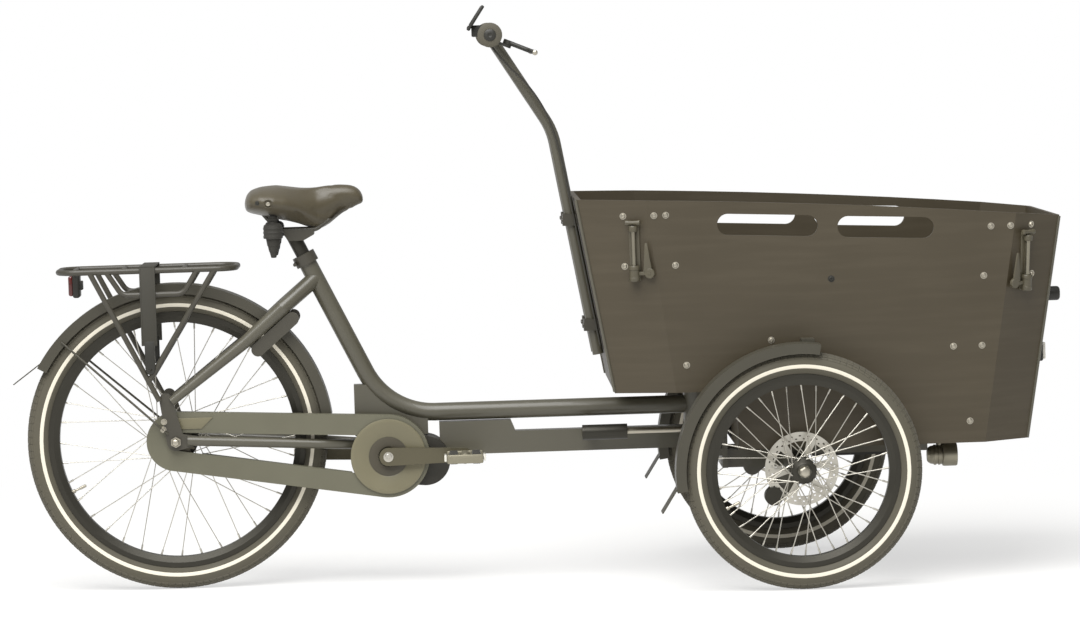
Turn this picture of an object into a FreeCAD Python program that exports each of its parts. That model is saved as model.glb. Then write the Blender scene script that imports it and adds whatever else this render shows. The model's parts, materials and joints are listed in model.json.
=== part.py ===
import FreeCAD, Part
import math
import os
import re

import Sketcher
from FreeCAD import Placement, Rotation, Vector

# Driving dimensions in millimetres: x runs forward from the frame's datum, y to the left,
# z up from the ground
SIZES = {
    # Whole tricycle
    "datum_x": -811.9,
    "overrun": 5,
    "seat_gap": 0.3,
    "run_gap": 0.05,
    # Wheels
    "rear_wheel_radius": 335,
    "front_wheel_radius": 258,
    "front_axle_x": 1368,
    "box_wheel_gap": 70,
    "tyre_tube_radius": 27,
    "tyre_wall": 5,
    "bead_drop": 20.8,
    "rim_half": 16,
    "rim_lip": 2.5,
    "rim_flank": 11,
    "rim_depth": 24,
    "rim_floor_half": 10,
    "rim_well_flank": 10,
    "rim_well_depth": 20,
    "rim_well_half": 8,
    "rear_spoke_radius": 1.0,
    "front_spoke_radius": 1.2,
    "nipple_radius": 2.0,
    "nipple_length": 12,
    "spoke_rim_half": 3,
    "spoke_clear": 0.8,
    "flange_thick": 3,
    "spoke_hole_inset": 1.5,
    "rear_flange_radius": 46,
    "rear_flange_in": 28,
    "rear_barrel_radius": 38,
    "rear_hub_end_radius": 30,
    "rear_hub_right": 33,
    "rear_hub_left": 58,
    "front_flange_radius": 28,
    "front_flange_inner": 22,
    "front_flange_outer": 20,
    "front_barrel_radius": 18,
    "front_cap_radius": 15,
    "front_cap_out": 33,
    "front_hub_in": 41,
    "front_hub_end_radius": 22,
    "rotor_radius": 80,
    "rotor_thick": 2,
    "rotor_inset": 2,
    # Rear axle and dropouts
    "rear_axle_radius": 5,
    "rear_axle_half": 85,
    "axle_collar_radius": 9,
    "axle_nut_radius": 10,
    "axle_nut_high": 8,
    "dropout_in": 67.5,
    "dropout_thick": 6,
    "dropout_radius": 20,
    "lug_x": -20,
    "lug_height": 95,
    "lug_radius": 14,
    "arm_x": 45,
    "arm_height": 2,
    "arm_radius": 10,
    # Front stub axles, rotating brake discs' calipers and their plates
    "stub_radius": 10,
    "stub_collar_radius": 14,
    "stub_out": 49,
    "stub_nut_radius": 15,
    "stub_nut_high": 9,
    "caliper_back": 62,
    "caliper_drop": 58,
    "caliper_radius": 20,
    "caliper_thick": 24,
    "caliper_slot": 5,
    "caliper_plate_radius": 24,
    "caliper_plate_thick": 6,
    # Crank drive
    "crank_x": 470,
    "crank_z": 287,
    "spindle_radius": 10,
    "crank_length": 170,
    "crank_in": 68,
    "crank_thick": 12,
    "crank_boss_radius": 20,
    "crank_eye_radius": 15,
    "pedal_pin_radius": 7,
    "pedal_in": 95,
    "pedal_width": 90,
    "pedal_half": 34,
    "pedal_radius": 12,
    "chain_line": 48,
    "sprocket_thick": 2,
    "ring_tip_radius": 80,
    "ring_root_radius": 72,
    "ring_boss_radius": 16,
    "ring_boss_right": 50,
    "cog_tip_radius": 43,
    "cog_root_radius": 35.5,
    "cog_boss_radius": 17,
    "cog_boss_right": 55,
    "chain_half": 4,
    "chain_groove_half": 1.5,
    "chain_outer": 3,
    "chain_inner": 7,
    "tooth_clear": 0.5,
    "case_right": 62,
    "case_left": 36,
    "case_wall": 3,
    "case_front_radius": 92,
    "case_rear_radius": 66,
    "window_front_radius": 46,
    "window_rear_radius": 20,
    "case_disc_radius": 84,
    "case_disc_thick": 3.5,
    "case_disc_hole": 22,
    "motor_right": 35.5,
    "motor_left": 52,
    "motor_radius": 62,
    "motor_nose_radius": 55,
    "motor_nose_x": 552,
    "motor_nose_z": 272,
    # Frame
    "seat_top_x": 293,
    "seat_top_height": 405,
    "bend_x": 470,
    "bend_z": 378,
    "main_bend": 170,
    "main_radius": 20,
    "post_bore_deep": 265,
    "post_radius": 15.8,
    "king_x": 1165,
    "king_radius": 20,
    "king_flange_radius": 28,
    "king_flange_thick": 6,
    "head_radius": 32,
    "head_bottom": 282,
    "head_top": 412,
    "girder_half": 17,
    "girder_rear_x": 585,
    "girder_top_z": 356,
    "girder_step_x": 745,
    "girder_ramp": 10,
    "rail_top_z": 331,
    "gusset_half": 15,
    "gusset_x": 397,
    "gusset_clear": 62,
    "gusset_low_z": 330,
    "gusset_high_z": 445,
    "gusset_front_x": 560,
    "gusset_mid_x": 500,
    "gusset_mid_z": 395,
    "stay_top_radius": 18,
    "stay_knee_radius": 16.5,
    "stay_bow_radius": 14,
    "stay_foot_radius": 10,
    "stay_top_down": 60,
    "stay_top_y": 3,
    "stay_knee_gap": 44,
    "stay_bow_x": 157,
    "stay_bow_height": 214,
    "stay_bow_y": 58,
    "stay_foot_height": 90,
    "stay_knee_y": 52,
    "stay_foot_x": -7,
    "bridge_radius": 7,
    "chain_stay_radius": 11,
    "chain_stay_rear_x": 25,
    "chain_stay_knee_x": 330,
    "chain_stay_over": 16.7,
    "chain_stay_knee_y": 46,
    "chain_stay_front_x": 416,
    "chain_stay_front_z": 312,
    "chain_stay_front_y": 22,
    "chain_stay_bend": 120,
    "clamp_high": 24,
    "clamp_wall": 6,
    "clamp_bolt_radius": 4,
    "clamp_bolt_half": 24,
    # Rear mudguard, carrier, straps, tail lamp and ring lock
    "guard_gap": 12,
    "guard_thick": 2.5,
    "guard_half": 33,
    "guard_lip": 20,
    "rear_flap_flare": 47.6,
    "front_flap_flare": 58.5,
    "guard_wire_radius": 2.5,
    "guard_wire_knee_x": -40,
    "guard_wire_knee_height": 40,
    "guard_wire_foot_x": -17,
    "guard_wire_foot_height": 18,
    "guard_wire_bend": 40,
    "rack_radius": 6.5,
    "rack_leg_radius": 6,
    "rack_clear": 48,
    "rack_rear_x": -249,
    "rack_front_x": 145,
    "rack_corner": 45,
    "rack_leg_rear_x": -178,
    "rack_leg_foot_x": -33,
    "rack_leg_foot_height": 93,
    "rack_leg_front_x": 99,
    "rack_leg_join_x": -54,
    "rack_leg_join_height": 139,
    "rack_rail_rear_x": -141,
    "rack_rail_rear_low_x": -107,
    "rack_rail_front_low_x": 28,
    "rack_rail_front_x": 61,
    "rack_rail_drop": 53,
    "rack_rail_bend": 25,
    "rack_bar_radius": 5,
    "lamp_bar_x": -215,
    "strap_x": -50,
    "strap_half": 17.5,
    "strap_thick": 3,
    "strap_drop": 166,
    "hook_drop": 231,
    "hook_half": 9,
    "tail_lamp_half": 16,
    "tail_lamp_drop": 22,
    "tail_lamp_tall": 38,
    "tail_lamp_wide_half": 26,
    "lock_radius": 15,
    "lock_length": 102,
    "lock_gap": 0.5,
    "lock_in": 47,
    "lock_thick": 12,
    "lock_bar_radius": 5,
    # Seat
    "post_up": 53,
    "post_length": 250,
    "saddle_back": 104,
    "saddle_length": 267,
    "saddle_base_height": 9.4,
    "saddle_high": 96,
    "saddle_half": 98,
    "saddle_rail_radius": 5,
    "saddle_rail_half": 22,
    "saddle_nose_rail_half": 14,
    "saddle_rail_height": 8,
    "saddle_rail_high": 62.4,
    "saddle_rail_back": 75,
    "saddle_rail_ahead": 130,
    "saddle_rail_ramp": 45,
    "saddle_nose_ramp": 75,
    "saddle_channel_height": 31.4,
    "saddle_channel_clear": 3,
    "saddle_rail_bend": 25,
    "cradle_back": 16,
    "cradle_ahead": 50,
    "cradle_foot_back": 8,
    "cradle_foot_ahead": 26,
    "cradle_thick": 11,
    "cradle_drop": 16,
    "cradle_wide_half": 28,
    "spring_back": 40,
    "spring_y": 55,
    "spring_radius": 22,
    "spring_waist_radius": 16,
    "spring_tip_radius": 6,
    "spring_neck_radius": 11,
    "spring_drop": 51,
    "spring_cone_tall": 43,
    "spring_barrel_tall": 34,
    "spring_neck_tall": 22,
    # Carriage below the box
    "plate_reach": 45,
    "plate_half": 75,
    "low_plate_thick": 16,
    "top_plate_thick": 16,
    "web_x": 48,
    "web_thick": 12,
    "beam_half": 20,
    "beam_hub_gap": 12,
    "side_beam_in": 40,
    "side_beam_thick": 25,
    "bed_height": 42,
    "front_beam_x": 1676.7,
    "bed_pad_half": 20,
    "bed_pad_y": 190,
    "damper_y": 60,
    "damper_z": 326,
    "damper_radius": 17,
    "damper_x": 903,
    "damper_length": 100,
    "damper_rear_wall": 6,
    "damper_stud_radius": 10,
    "damper_rod_radius": 6,
    "damper_rod_in": 950,
    "damper_eye_x": 1141,
    "damper_eye_radius": 12,
    "damper_eye_half": 8,
    "damper_eye_gap": 0.4,
    # Cargo box: plan at two heights, wall, rim arc and hand slots
    "box_high": 560,
    "box_wall": 11,
    "box_half": 305,
    "box_rear_top_x": 896,
    "box_rear_low_x": 992.5,
    "box_rear_top_cut": 43,
    "box_rear_low_cut": 38.1,
    "box_rear_fold_top_x": 1043.5,
    "box_rear_fold_low_x": 1120,
    "box_front_fold_top_x": 1861,
    "box_front_fold_low_x": 1772,
    "box_front_top_x": 1967,
    "box_front_low_x": 1873,
    "box_front_top_cut": 70,
    "box_front_low_cut": 66.7,
    "rear_panel_cut": 57,
    "front_panel_cut": 85,
    "step_x": 1235,
    "floor_thick": 12,
    "rim_rear_drop": 7,
    "rim_mid_x": 1235,
    "rim_mid_drop": 20,
    "rim_front_drop": 75,
    "slot_radius": 23,
    "slot_one_x": 1224,
    "slot_one_drop": 69,
    "slot_two_x": 1396,
    "slot_two_drop": 77,
    "slot_three_x": 1485,
    "slot_three_drop": 82,
    "slot_four_x": 1648,
    "slot_four_drop": 89,
    "bolt_radius": 5.5,
    "bolt_high": 3,
    "tent_plate_half": 12,
    "tent_plate_high": 128,
    "tent_plate_thick": 4,
    "tent_rod_radius": 7,
    "tent_rod_out": 12,
    "tent_knob_radius": 6,
    "tent_knob_half": 17,
    "tent_socket_radius": 12,
    "tent_socket_high": 34,
    "tent_lever_length": 40,
    "tent_lever_radius": 11,
    # Front mudguards, lamps and battery
    "front_guard_gap": 16,
    "front_guard_half": 31,
    "guard_bracket_x": 1388,
    "guard_bracket_half": 14,
    "guard_bracket_low": 5,
    "guard_bracket_high": 8,
    "guard_bracket_lap": 6,
    "headlamp_length": 68,
    "headlamp_drop": 13,
    "headlamp_radius": 26,
    "reflector_x": 1984,
    "reflector_height": 300,
    "reflector_radius": 16,
    "reflector_thick": 8,
    "reflector_stem_radius": 5,
    "marker_height": 172,
    "marker_half": 14,
    "marker_radius": 11,
    "marker_x": 1950,
    "battery_rear_x": 1420,
    "battery_front_x": 1660,
    "battery_in": 30,
    "battery_out": 150,
    "battery_high": 52,
    # Handlebar
    "bar_radius": 13.5,
    "bar_inset": 67,
    "riser_radius": 12.5,
    "riser_half": 50,
    "bar_foot_x": 944,
    "bar_foot_z": 500,
    "bar_hip_x": 857,
    "bar_hip_z": 1000,
    "bar_top_x": 722,
    "bar_top_z": 1216,
    "bar_bend": 160,
    "bar_clamp_low_x": 932.5,
    "bar_clamp_low_z": 566,
    "bar_clamp_high_x": 892,
    "bar_clamp_high_z": 801,
    "bar_clamp_half": 13,
    "bar_clamp_reach": 26,
    "bar_clamp_wide": 19,
    "grip_radius": 20,
    "grip_length": 112,
    "grip_flange_radius": 27,
    "grip_flange_thick": 4,
    "shifter_length": 24,
    "shifter_radius": 22,
    "perch_gap": 8,
    "perch_wide": 18,
    "perch_radius": 23,
    "perch_plate_thick": 6,
    "lever_pivot_out": 46,
    "lever_boss_radius": 9,
    "lever_half": 5,
    "lever_pin_radius": 3,
    "lever_elbow_out": 98,
    "lever_elbow_along": 32,
    "lever_tip_out": 106,
    "lever_tip_along": 131,
    "lever_bend": 22,
    "lever_drop_length": 38,
    "lever_forward_length": 90,
    "display_half": 32,
    "display_thick": 9,
    "display_low_x": 679,
    "display_low_z": 1225,
    "display_height": 54,
    "display_ahead": 36,
    "display_arm_rise": 15,
    "display_clamp_half": 9,
    "cable_radius": 2.5,
    "cable_bend_radius": 60,
    "cable_one_x": 726,
    "cable_one_z": 1190.9,
    "cable_two_x": 757,
    "cable_two_along": 5,
    "cable_two_z": 1150,
    "cable_three_x": 800,
    "cable_three_out": 32,
    "cable_three_z": 1110,
    "cable_four_x": 840,
    "cable_four_out": 25,
    "cable_four_z": 1050,
    "cable_five_x": 864,
    "cable_five_z": 985,
    "cable_six_x": 888,
    "cable_six_z": 868,
    "cable_seven_x": 948.5,
    "cable_seven_z": 520,
    "cable_beside": 22,
}

# Counts and shares
SPOKES_PER_FLANGE = 18
SPOKE_LAP_SHARE = 60 / 360
RING_TEETH = 38
COG_TEETH = 20
# Where a tooth's root and tip start and end, as shares of the tooth spacing
TOOTH_SHARES = (0, 0.3, 0.5, 0.8)
REAR_GUARD_SHARES = (7.7 / 360, 150.8 / 360)
FRONT_GUARD_SHARES = (81 / 360, 188 / 360)
FLAP_LAP_SHARE = 2 / 360
# Directions out from a wheel's axle, as shares of the distance along x and z
KNEE_SHARES = (0.6466, 0.7628)
GUARD_WIRE_SHARES = (-0.738, 0.675)
REAR_FLAP_SHARES = (-0.9357, 0.3528)
FRONT_FLAP_SHARES = (-0.9668, -0.2559)
# The ring lock's rear end, as a share of the seat stay from its foot to its knee
# How far each inner corner of the box plan draws in, as shares of the wall
REAR_CORNER_SHARE = 0.754
REAR_FOLD_SHARE = 0.14
FRONT_FOLD_SHARE = 0.30
FRONT_CORNER_SHARE = 0.538
# Saddle stations from rear to nose: along, half width, base and crown
SADDLE_SHARES = (
    (0.00, 0.55, 0.51, 0.76),
    (0.10, 0.92, 0.40, 0.99),
    (0.30, 1.00, 0.30, 0.97),
    (0.45, 0.78, 0.20, 0.91),
    (0.61, 0.48, 0.02, 0.90),
    (0.68, 0.39, 0.08, 0.93),
    (0.76, 0.32, 0.31, 0.97),
    (0.90, 0.26, 0.51, 1.00),
    (1.00, 0.15, 0.58, 0.72),
)
SADDLE_SHOULDER_SHARE = 0.6
SADDLE_TUCK_SHARE = 0.82
# Bolt heads and canopy-pole clamps on the box walls: shares of the box's length and height
BOLT_SHARES = (
    (0.095, 0.920),
    (0.157, 0.920),
    (0.181, 0.920),
    (0.096, 0.725),
    (0.198, 0.725),
    (0.215, 0.336),
    (0.388, 0.423),
    (0.513, 0.654),
    (0.840, 0.839),
    (0.880, 0.839),
    (0.925, 0.839),
    (0.823, 0.648),
    (0.925, 0.646),
    (0.758, 0.377),
    (0.816, 0.377),
    (0.788, 0.084),
)
TENT_SHARES = ((0.118, 0.668), (0.905, 0.586))

doc = FreeCAD.newDocument("CargoTricycle")
sheet = doc.addObject("Spreadsheet::Sheet", "Sizes")
for row, (alias, value) in enumerate(SIZES.items(), start=1):
    sheet.set(f"A{row}", alias)
    sheet.set(f"B{row}", str(value))
    sheet.setAlias(f"B{row}", alias)
doc.recompute()

UP = Vector(0, 0, 1)
SIDEWAYS = Vector(0, 1, 0)
FORWARD = Vector(1, 0, 0)
TURNS = {
    "x": Rotation(UP, FORWARD),
    "y": Rotation(UP, SIDEWAYS),
    "z": Rotation(),
}
nodes = {}


def form(text):
    """Expression text with every size name led back to the sheet."""
    return re.sub(r"[a-z]\w+", lambda w: "Sizes." + w.group() if w.group() in SIZES else w.group(), text)


def size(text):
    """Number that an expression on the size names gives."""
    return float(sheet.evalExpression(text))


def spot(x, y, z):
    """Point from three expressions, x counted from the datum."""
    return Vector(size(x), size(y), size(z))


def bind(item, **texts):
    """Bind properties of an object to expressions."""
    for name, text in texts.items():
        item.setExpression(name, form(text))


def place(item, x="0", y="0", z="0", turn=Rotation()):
    """Turn an object and bind its place, x counted from the datum."""
    item.Placement = Placement(Vector(), turn)
    item.setExpression("Placement.Base.x", form(f"datum_x + ({x})"))
    item.setExpression("Placement.Base.y", form(y))
    item.setExpression("Placement.Base.z", form(z))
    return item


def node(label, item):
    """Name a finished sub-part."""
    item.Label = label
    nodes[label] = item
    return item


def block(x, y, z):
    """Box between two planes on each axis."""
    item = doc.addObject("Part::Box", "Block")
    bind(item, Length=f"{x[1]} - ({x[0]})", Width=f"{y[1]} - ({y[0]})", Height=f"{z[1]} - ({z[0]})")
    return place(item, x[0], y[0], z[0])


def drum(axis, radius, span, x="0", y="0", z="0"):
    """Cylinder along one axis, between two places on that axis."""
    item = doc.addObject("Part::Cylinder", "Drum")
    bind(item, Radius=radius, Height=f"{span[1]} - ({span[0]})")
    at = {"x": x, "y": y, "z": z}
    at[axis] = span[0]
    return place(item, turn=TURNS[axis], **at)


def hexagon(radius, span, x, z):
    """Six-sided nut along the y axis."""
    item = doc.addObject("Part::Prism", "Nut")
    item.Polygon = 6
    bind(item, Circumradius=radius, Height=f"{span[1]} - ({span[0]})")
    return place(item, x, span[0], z, TURNS["y"])


def fuse(*items):
    """One piece from several."""
    item = doc.addObject("Part::MultiFuse", "Joined")
    item.Shapes = list(items)
    item.Refine = True
    return item


def group(*items):
    """Separate solids held in one node."""
    item = doc.addObject("Part::Compound", "Group")
    item.Links = list(items)
    return item


def cut(base, *tools):
    """A piece less its cuts."""
    for tool in tools:
        item = doc.addObject("Part::Cut", "Trimmed")
        item.Base = base
        item.Tool = tool
        base = item
    return base


def common(base, tool):
    """What two shapes share."""
    item = doc.addObject("Part::Common", "Shared")
    item.Base = base
    item.Tool = tool
    return item


def mirror(item):
    """The same piece on the other side of the tricycle."""
    copy = doc.addObject("Part::Mirroring", "OtherSide")
    copy.Source = item
    copy.Base = Vector()
    copy.Normal = SIDEWAYS
    return copy


def both_sides(item):
    """A piece and its mirror image in one node."""
    return group(item, mirror(item))


def new_sketch(body, plane, offset="0"):
    """Sketch on one of the body's own origin planes, moved along the plane's normal."""
    sketch = body.newObject("Sketcher::SketchObject", "Profile")
    support = [face for face in body.Origin.OriginFeatures if face.Role == plane][0]
    sketch.AttachmentSupport = [(support, "")]
    sketch.MapMode = "FlatFace"
    sketch.setExpression("AttachmentOffset.Base.z", form(offset))
    return sketch


def pin(sketch, index, end, x, y):
    """Bind one point of a sketch to expressions."""
    for kind, text in (("DistanceX", x), ("DistanceY", y)):
        place_index = sketch.addConstraint(Sketcher.Constraint(kind, -1, 1, index, end, size(text)))
        sketch.setExpression(f"Constraints[{place_index}]", form(text))


def draw_polygon(sketch, points):
    """Closed outline through points given as expressions."""
    spots = [Vector(size(x), size(y), 0) for x, y in points]
    first = sketch.GeometryCount
    count = len(points)
    for i in range(count):
        sketch.addGeometry(Part.LineSegment(spots[i], spots[(i + 1) % count]), False)
    for i in range(count):
        sketch.addConstraint(Sketcher.Constraint("Coincident", first + i, 2, first + (i + 1) % count, 1))
        pin(sketch, first + i, 1, *points[i])


def draw_belt(sketch, first, second):
    """Outline round two circles (x, z, radius) and their two outer tangents."""
    rings = [(Vector(size(x), size(z), 0), size(radius)) for x, z, radius in (first, second)]
    gap = rings[1][0] - rings[0][0]
    heading = math.atan2(gap.y, gap.x)
    lean = math.acos((rings[0][1] - rings[1][1]) / gap.Length)
    sides = (heading + lean, heading - lean)
    ends = [[c + Vector(math.cos(a), math.sin(a), 0) * r for a in sides] for c, r in rings]
    circles = [Part.Circle(centre, UP, radius) for centre, radius in rings]
    sketch.addGeometry(Part.ArcOfCircle(circles[0], sides[0], sides[1] + 2 * math.pi), False)
    sketch.addGeometry(Part.LineSegment(ends[0][1], ends[1][1]), False)
    sketch.addGeometry(Part.ArcOfCircle(circles[1], sides[1], sides[0]), False)
    sketch.addGeometry(Part.LineSegment(ends[1][0], ends[0][0]), False)
    for i in range(4):
        sketch.addConstraint(Sketcher.Constraint("Tangent", i, 2, (i + 1) % 4, 1))
    for index, (x, z, radius) in ((0, first), (2, second)):
        pin(sketch, index, 3, x, z)
        round_index = sketch.addConstraint(Sketcher.Constraint("Radius", index, size(radius)))
        sketch.setExpression(f"Constraints[{round_index}]", form(radius))


def new_body(name):
    """Empty body."""
    return doc.addObject("PartDesign::Body", name)


def pad(body, sketch, length):
    """Pad a sketch along its plane's normal."""
    feature = body.newObject("PartDesign::Pad", "Pad")
    feature.Profile = sketch
    bind(feature, Length=length)
    body.Tip = feature
    return feature


def plate(points, span):
    """Plate of a side-view outline, between two places on the y axis."""
    body = new_body("Plate")
    sketch = new_sketch(body, "XZ_Plane", f"-({span[1]})")
    draw_polygon(sketch, points)
    pad(body, sketch, f"{span[1]} - ({span[0]})")
    return place(body)


def belt(first, second, span):
    """Plate of a belt outline in the side view, between two places on the y axis."""
    body = new_body("Belt")
    sketch = new_sketch(body, "XZ_Plane", f"-({span[1]})")
    draw_belt(sketch, first, second)
    pad(body, sketch, f"{span[1]} - ({span[0]})")
    return place(body)


def turned(points, x, y, z, turn=Rotation(), sweep=1):
    """Body turned about its own y axis from (radius, along) points, through a share of a turn."""
    body = new_body("Turned")
    sketch = new_sketch(body, "XY_Plane")
    draw_polygon(sketch, points)
    turn_about(body, sketch, sweep)
    return place(body, x, y, z, turn)


def turn_about(body, sketch, sweep=1):
    """Revolve a sketch about its own upright axis."""
    feature = body.newObject("PartDesign::Revolution", "Turn")
    feature.Profile = sketch
    feature.ReferenceAxis = (sketch, ["V_Axis"])
    feature.Angle = 360 * sweep
    body.Tip = feature


def bent_path(points, bends):
    """Path of straight runs and tangent arcs through points, one bend radius per inner point."""
    edges = []
    start = points[0]
    for before, corner, after, bend in zip(points, points[1:], points[2:], bends):
        back = (before - corner).normalize()
        ahead = (after - corner).normalize()
        half = back.getAngle(ahead) / 2
        reach = bend / math.tan(half)
        middle = corner + (back + ahead).normalize() * (bend / math.sin(half) - bend)
        arc_start = corner + back * reach
        arc_end = corner + ahead * reach
        edges.append(Part.makeLine(start, arc_start))
        edges.append(Part.Arc(arc_start, middle, arc_end).toShape())
        start = arc_end
    edges.append(Part.makeLine(start, points[-1]))
    return Part.Wire(edges)


def swept(path, radius):
    """Round bar along a path."""
    first = path.OrderedEdges[0]
    heading = first.tangentAt(first.FirstParameter)
    ring = Part.Wire(Part.makeCircle(radius, path.OrderedVertexes[0].Point, heading))
    return path.makePipeShell([ring], True, False)


def shaped(shape):
    """Sub-part from a finished shape, set at the datum."""
    item = doc.addObject("Part::Feature", "Shaped")
    item.Shape = shape
    item.Placement = Placement(Vector(size("datum_x"), 0, 0), Rotation())
    return item


def tube(points, radius, *bends):
    """Bent round bar through points given as expressions."""
    path = bent_path([spot(*point) for point in points], [size(bend) for bend in bends])
    return shaped(swept(path, size(radius)))


def tapered(*stations):
    """Round bar through points given as expressions, tapering from each radius to the next."""
    places = [spot(*station[:3]) for station in stations]
    radii = [size(station[3]) for station in stations]
    pieces = [Part.makeCone(radii[i], radii[i + 1], (places[i + 1] - places[i]).Length,
                            places[i], places[i + 1] - places[i]) for i in range(len(places) - 1)]
    knees = [Part.makeSphere(radius, place) for radius, place in zip(radii[1:-1], places[1:-1])]
    return shaped(pieces[0].multiFuse(pieces[1:] + knees).removeSplitter())


def polar(radius, share):
    """Side-view point round the origin, at a share of a turn from the forward direction up."""
    return Vector(math.cos(2 * math.pi * share), 0, math.sin(2 * math.pi * share)) * radius


# Named places, tied to the wheels, the box and the seat tube
AXLE_X = "(gusset_x - gusset_clear - rear_wheel_radius)"
TRACK = "(box_half + box_wheel_gap)"
BEAM_END = f"({TRACK} - front_hub_in - beam_hub_gap)"
BED = "(front_wheel_radius + bed_height)"
BOX_TOP = f"({BED} + box_high)"
BAR_Y = "(box_half - bar_inset)"
GRIP_OUT = f"({BAR_Y} - grip_flange_thick)"
GRIP_IN = f"({GRIP_OUT} - grip_length)"
SHIFTER_IN = f"({GRIP_IN} - shifter_length)"
PERCH_IN = f"({SHIFTER_IN} - perch_gap - perch_wide)"
PERCH_Y = f"({PERCH_IN} + perch_wide / 2)"
RACK_Z = "(rear_wheel_radius * 2 + rack_clear)"
SEAT_TOP_Z = "(rear_wheel_radius + seat_top_height)"

# Wheels
RIM_EDGE = "{0} - tyre_tube_radius - bead_drop - seat_gap"
OUTBOARD = {"right": Rotation(UP, 180), "left": Rotation()}


def tyre(x, y, wheel_radius):
    """Hollow tyre, open at its beads."""
    body = new_body("Tyre")
    sketch = new_sketch(body, "XY_Plane")
    centre = f"{wheel_radius} - tyre_tube_radius"
    bead = f"{centre} - bead_drop"
    for index, radius in enumerate(("tyre_tube_radius", "tyre_tube_radius - tyre_wall")):
        circle = Part.Circle(Vector(size(centre), 0, 0), UP, size(radius))
        reach = math.acos(-size("bead_drop") / size(radius))
        sketch.addGeometry(Part.ArcOfCircle(circle, -reach, reach), False)
        pin(sketch, index, 3, centre, "0")
        round_index = sketch.addConstraint(Sketcher.Constraint("Radius", index, size(radius)))
        sketch.setExpression(f"Constraints[{round_index}]", form(radius))
        for end in (1, 2):
            bead_index = sketch.addConstraint(
                Sketcher.Constraint("DistanceX", -1, 1, index, end, size(bead)))
            sketch.setExpression(f"Constraints[{bead_index}]", form(bead))
    outer, inner = sketch.Geometry[:2]
    sketch.addGeometry(Part.LineSegment(outer.EndPoint, inner.EndPoint), False)
    sketch.addGeometry(Part.LineSegment(inner.StartPoint, outer.StartPoint), False)
    for ends in ((0, 2, 2, 1), (2, 2, 1, 2), (1, 1, 3, 1), (3, 2, 0, 1)):
        sketch.addConstraint(Sketcher.Constraint("Coincident", *ends))
    turn_about(body, sketch)
    return place(body, x, y, wheel_radius)


def rim(x, y, wheel_radius):
    """Rim channel whose edges carry the tyre's beads."""
    edge = RIM_EDGE.format(wheel_radius)
    outside = [("rim_half", "0"), ("rim_half", "rim_flank"), ("rim_floor_half", "rim_depth")]
    inside = [("rim_half - rim_lip", "0"), ("rim_half - rim_lip", "rim_well_flank"),
              ("rim_well_half", "rim_well_depth")]
    points = [(f"{edge} - {deep}", f"-({wide})") for wide, deep in outside]
    points += [(f"{edge} - {deep}", wide) for wide, deep in reversed(outside)]
    points += [(f"{edge} - {deep}", wide) for wide, deep in inside]
    points += [(f"{edge} - {deep}", f"-({wide})") for wide, deep in reversed(inside)]
    return turned(points, x, y, wheel_radius)


def spokes(x, y, wheel_radius, flange_radius, flanges, spoke_radius):
    """Crossed spokes with nipples, laid on both faces of each flange."""
    hub_reach = size(f"{flange_radius} - spoke_hole_inset")
    rim_reach = size(RIM_EDGE.format(wheel_radius) + " - rim_depth - seat_gap * 2")
    offset = size(f"flange_thick / 2 + {spoke_radius} + spoke_clear")
    centre = spot(x, y, wheel_radius)
    pitch = 1 / SPOKES_PER_FLANGE
    solids = []
    for flange, toward in zip(flanges, (-1, 1)):
        for lead in (-1, 1):
            start = polar(hub_reach, 0) + SIDEWAYS * (size(flange) + lead * offset)
            end = polar(rim_reach, lead * SPOKE_LAP_SHARE) + SIDEWAYS * (toward * size("spoke_rim_half"))
            run = end - start
            wire = Part.makeCylinder(size(spoke_radius), run.Length, start, run)
            back = end - run.normalize() * size("nipple_length")
            nipple = Part.makeCylinder(size("nipple_radius"), size("nipple_length"), back, end - back)
            pair = wire.fuse(nipple)
            for step in range(SPOKES_PER_FLANGE // 2):
                share = (2 * step + (lead + 1) / 2 + (toward + 1) / 4) * pitch
                solids.append(pair.rotated(Vector(), SIDEWAYS, -360 * share).translated(centre))
    return shaped(Part.makeCompound(solids))


rear = (AXLE_X, "0", "rear_wheel_radius")
node("rear_tyre", tyre(*rear))
node("rear_rim", rim(*rear))
node("rear_spokes", spokes(
    *rear, "rear_flange_radius",
    ("-(rear_flange_in + flange_thick / 2)", "rear_flange_in + flange_thick / 2"), "rear_spoke_radius"))
rear_bore = "rear_axle_radius + run_gap"
node("rear_hub", turned([
    (rear_bore, "-rear_hub_right"),
    ("rear_hub_end_radius", "-rear_hub_right"),
    ("rear_hub_end_radius", "-(rear_flange_in + flange_thick)"),
    ("rear_flange_radius", "-(rear_flange_in + flange_thick)"),
    ("rear_flange_radius", "-rear_flange_in"),
    ("rear_barrel_radius", "-rear_flange_in"),
    ("rear_barrel_radius", "rear_flange_in"),
    ("rear_flange_radius", "rear_flange_in"),
    ("rear_flange_radius", "rear_flange_in + flange_thick"),
    ("rear_hub_end_radius", "rear_flange_in + flange_thick"),
    ("rear_hub_end_radius", "rear_hub_left"),
    (rear_bore, "rear_hub_left"),
], *rear))

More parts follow.
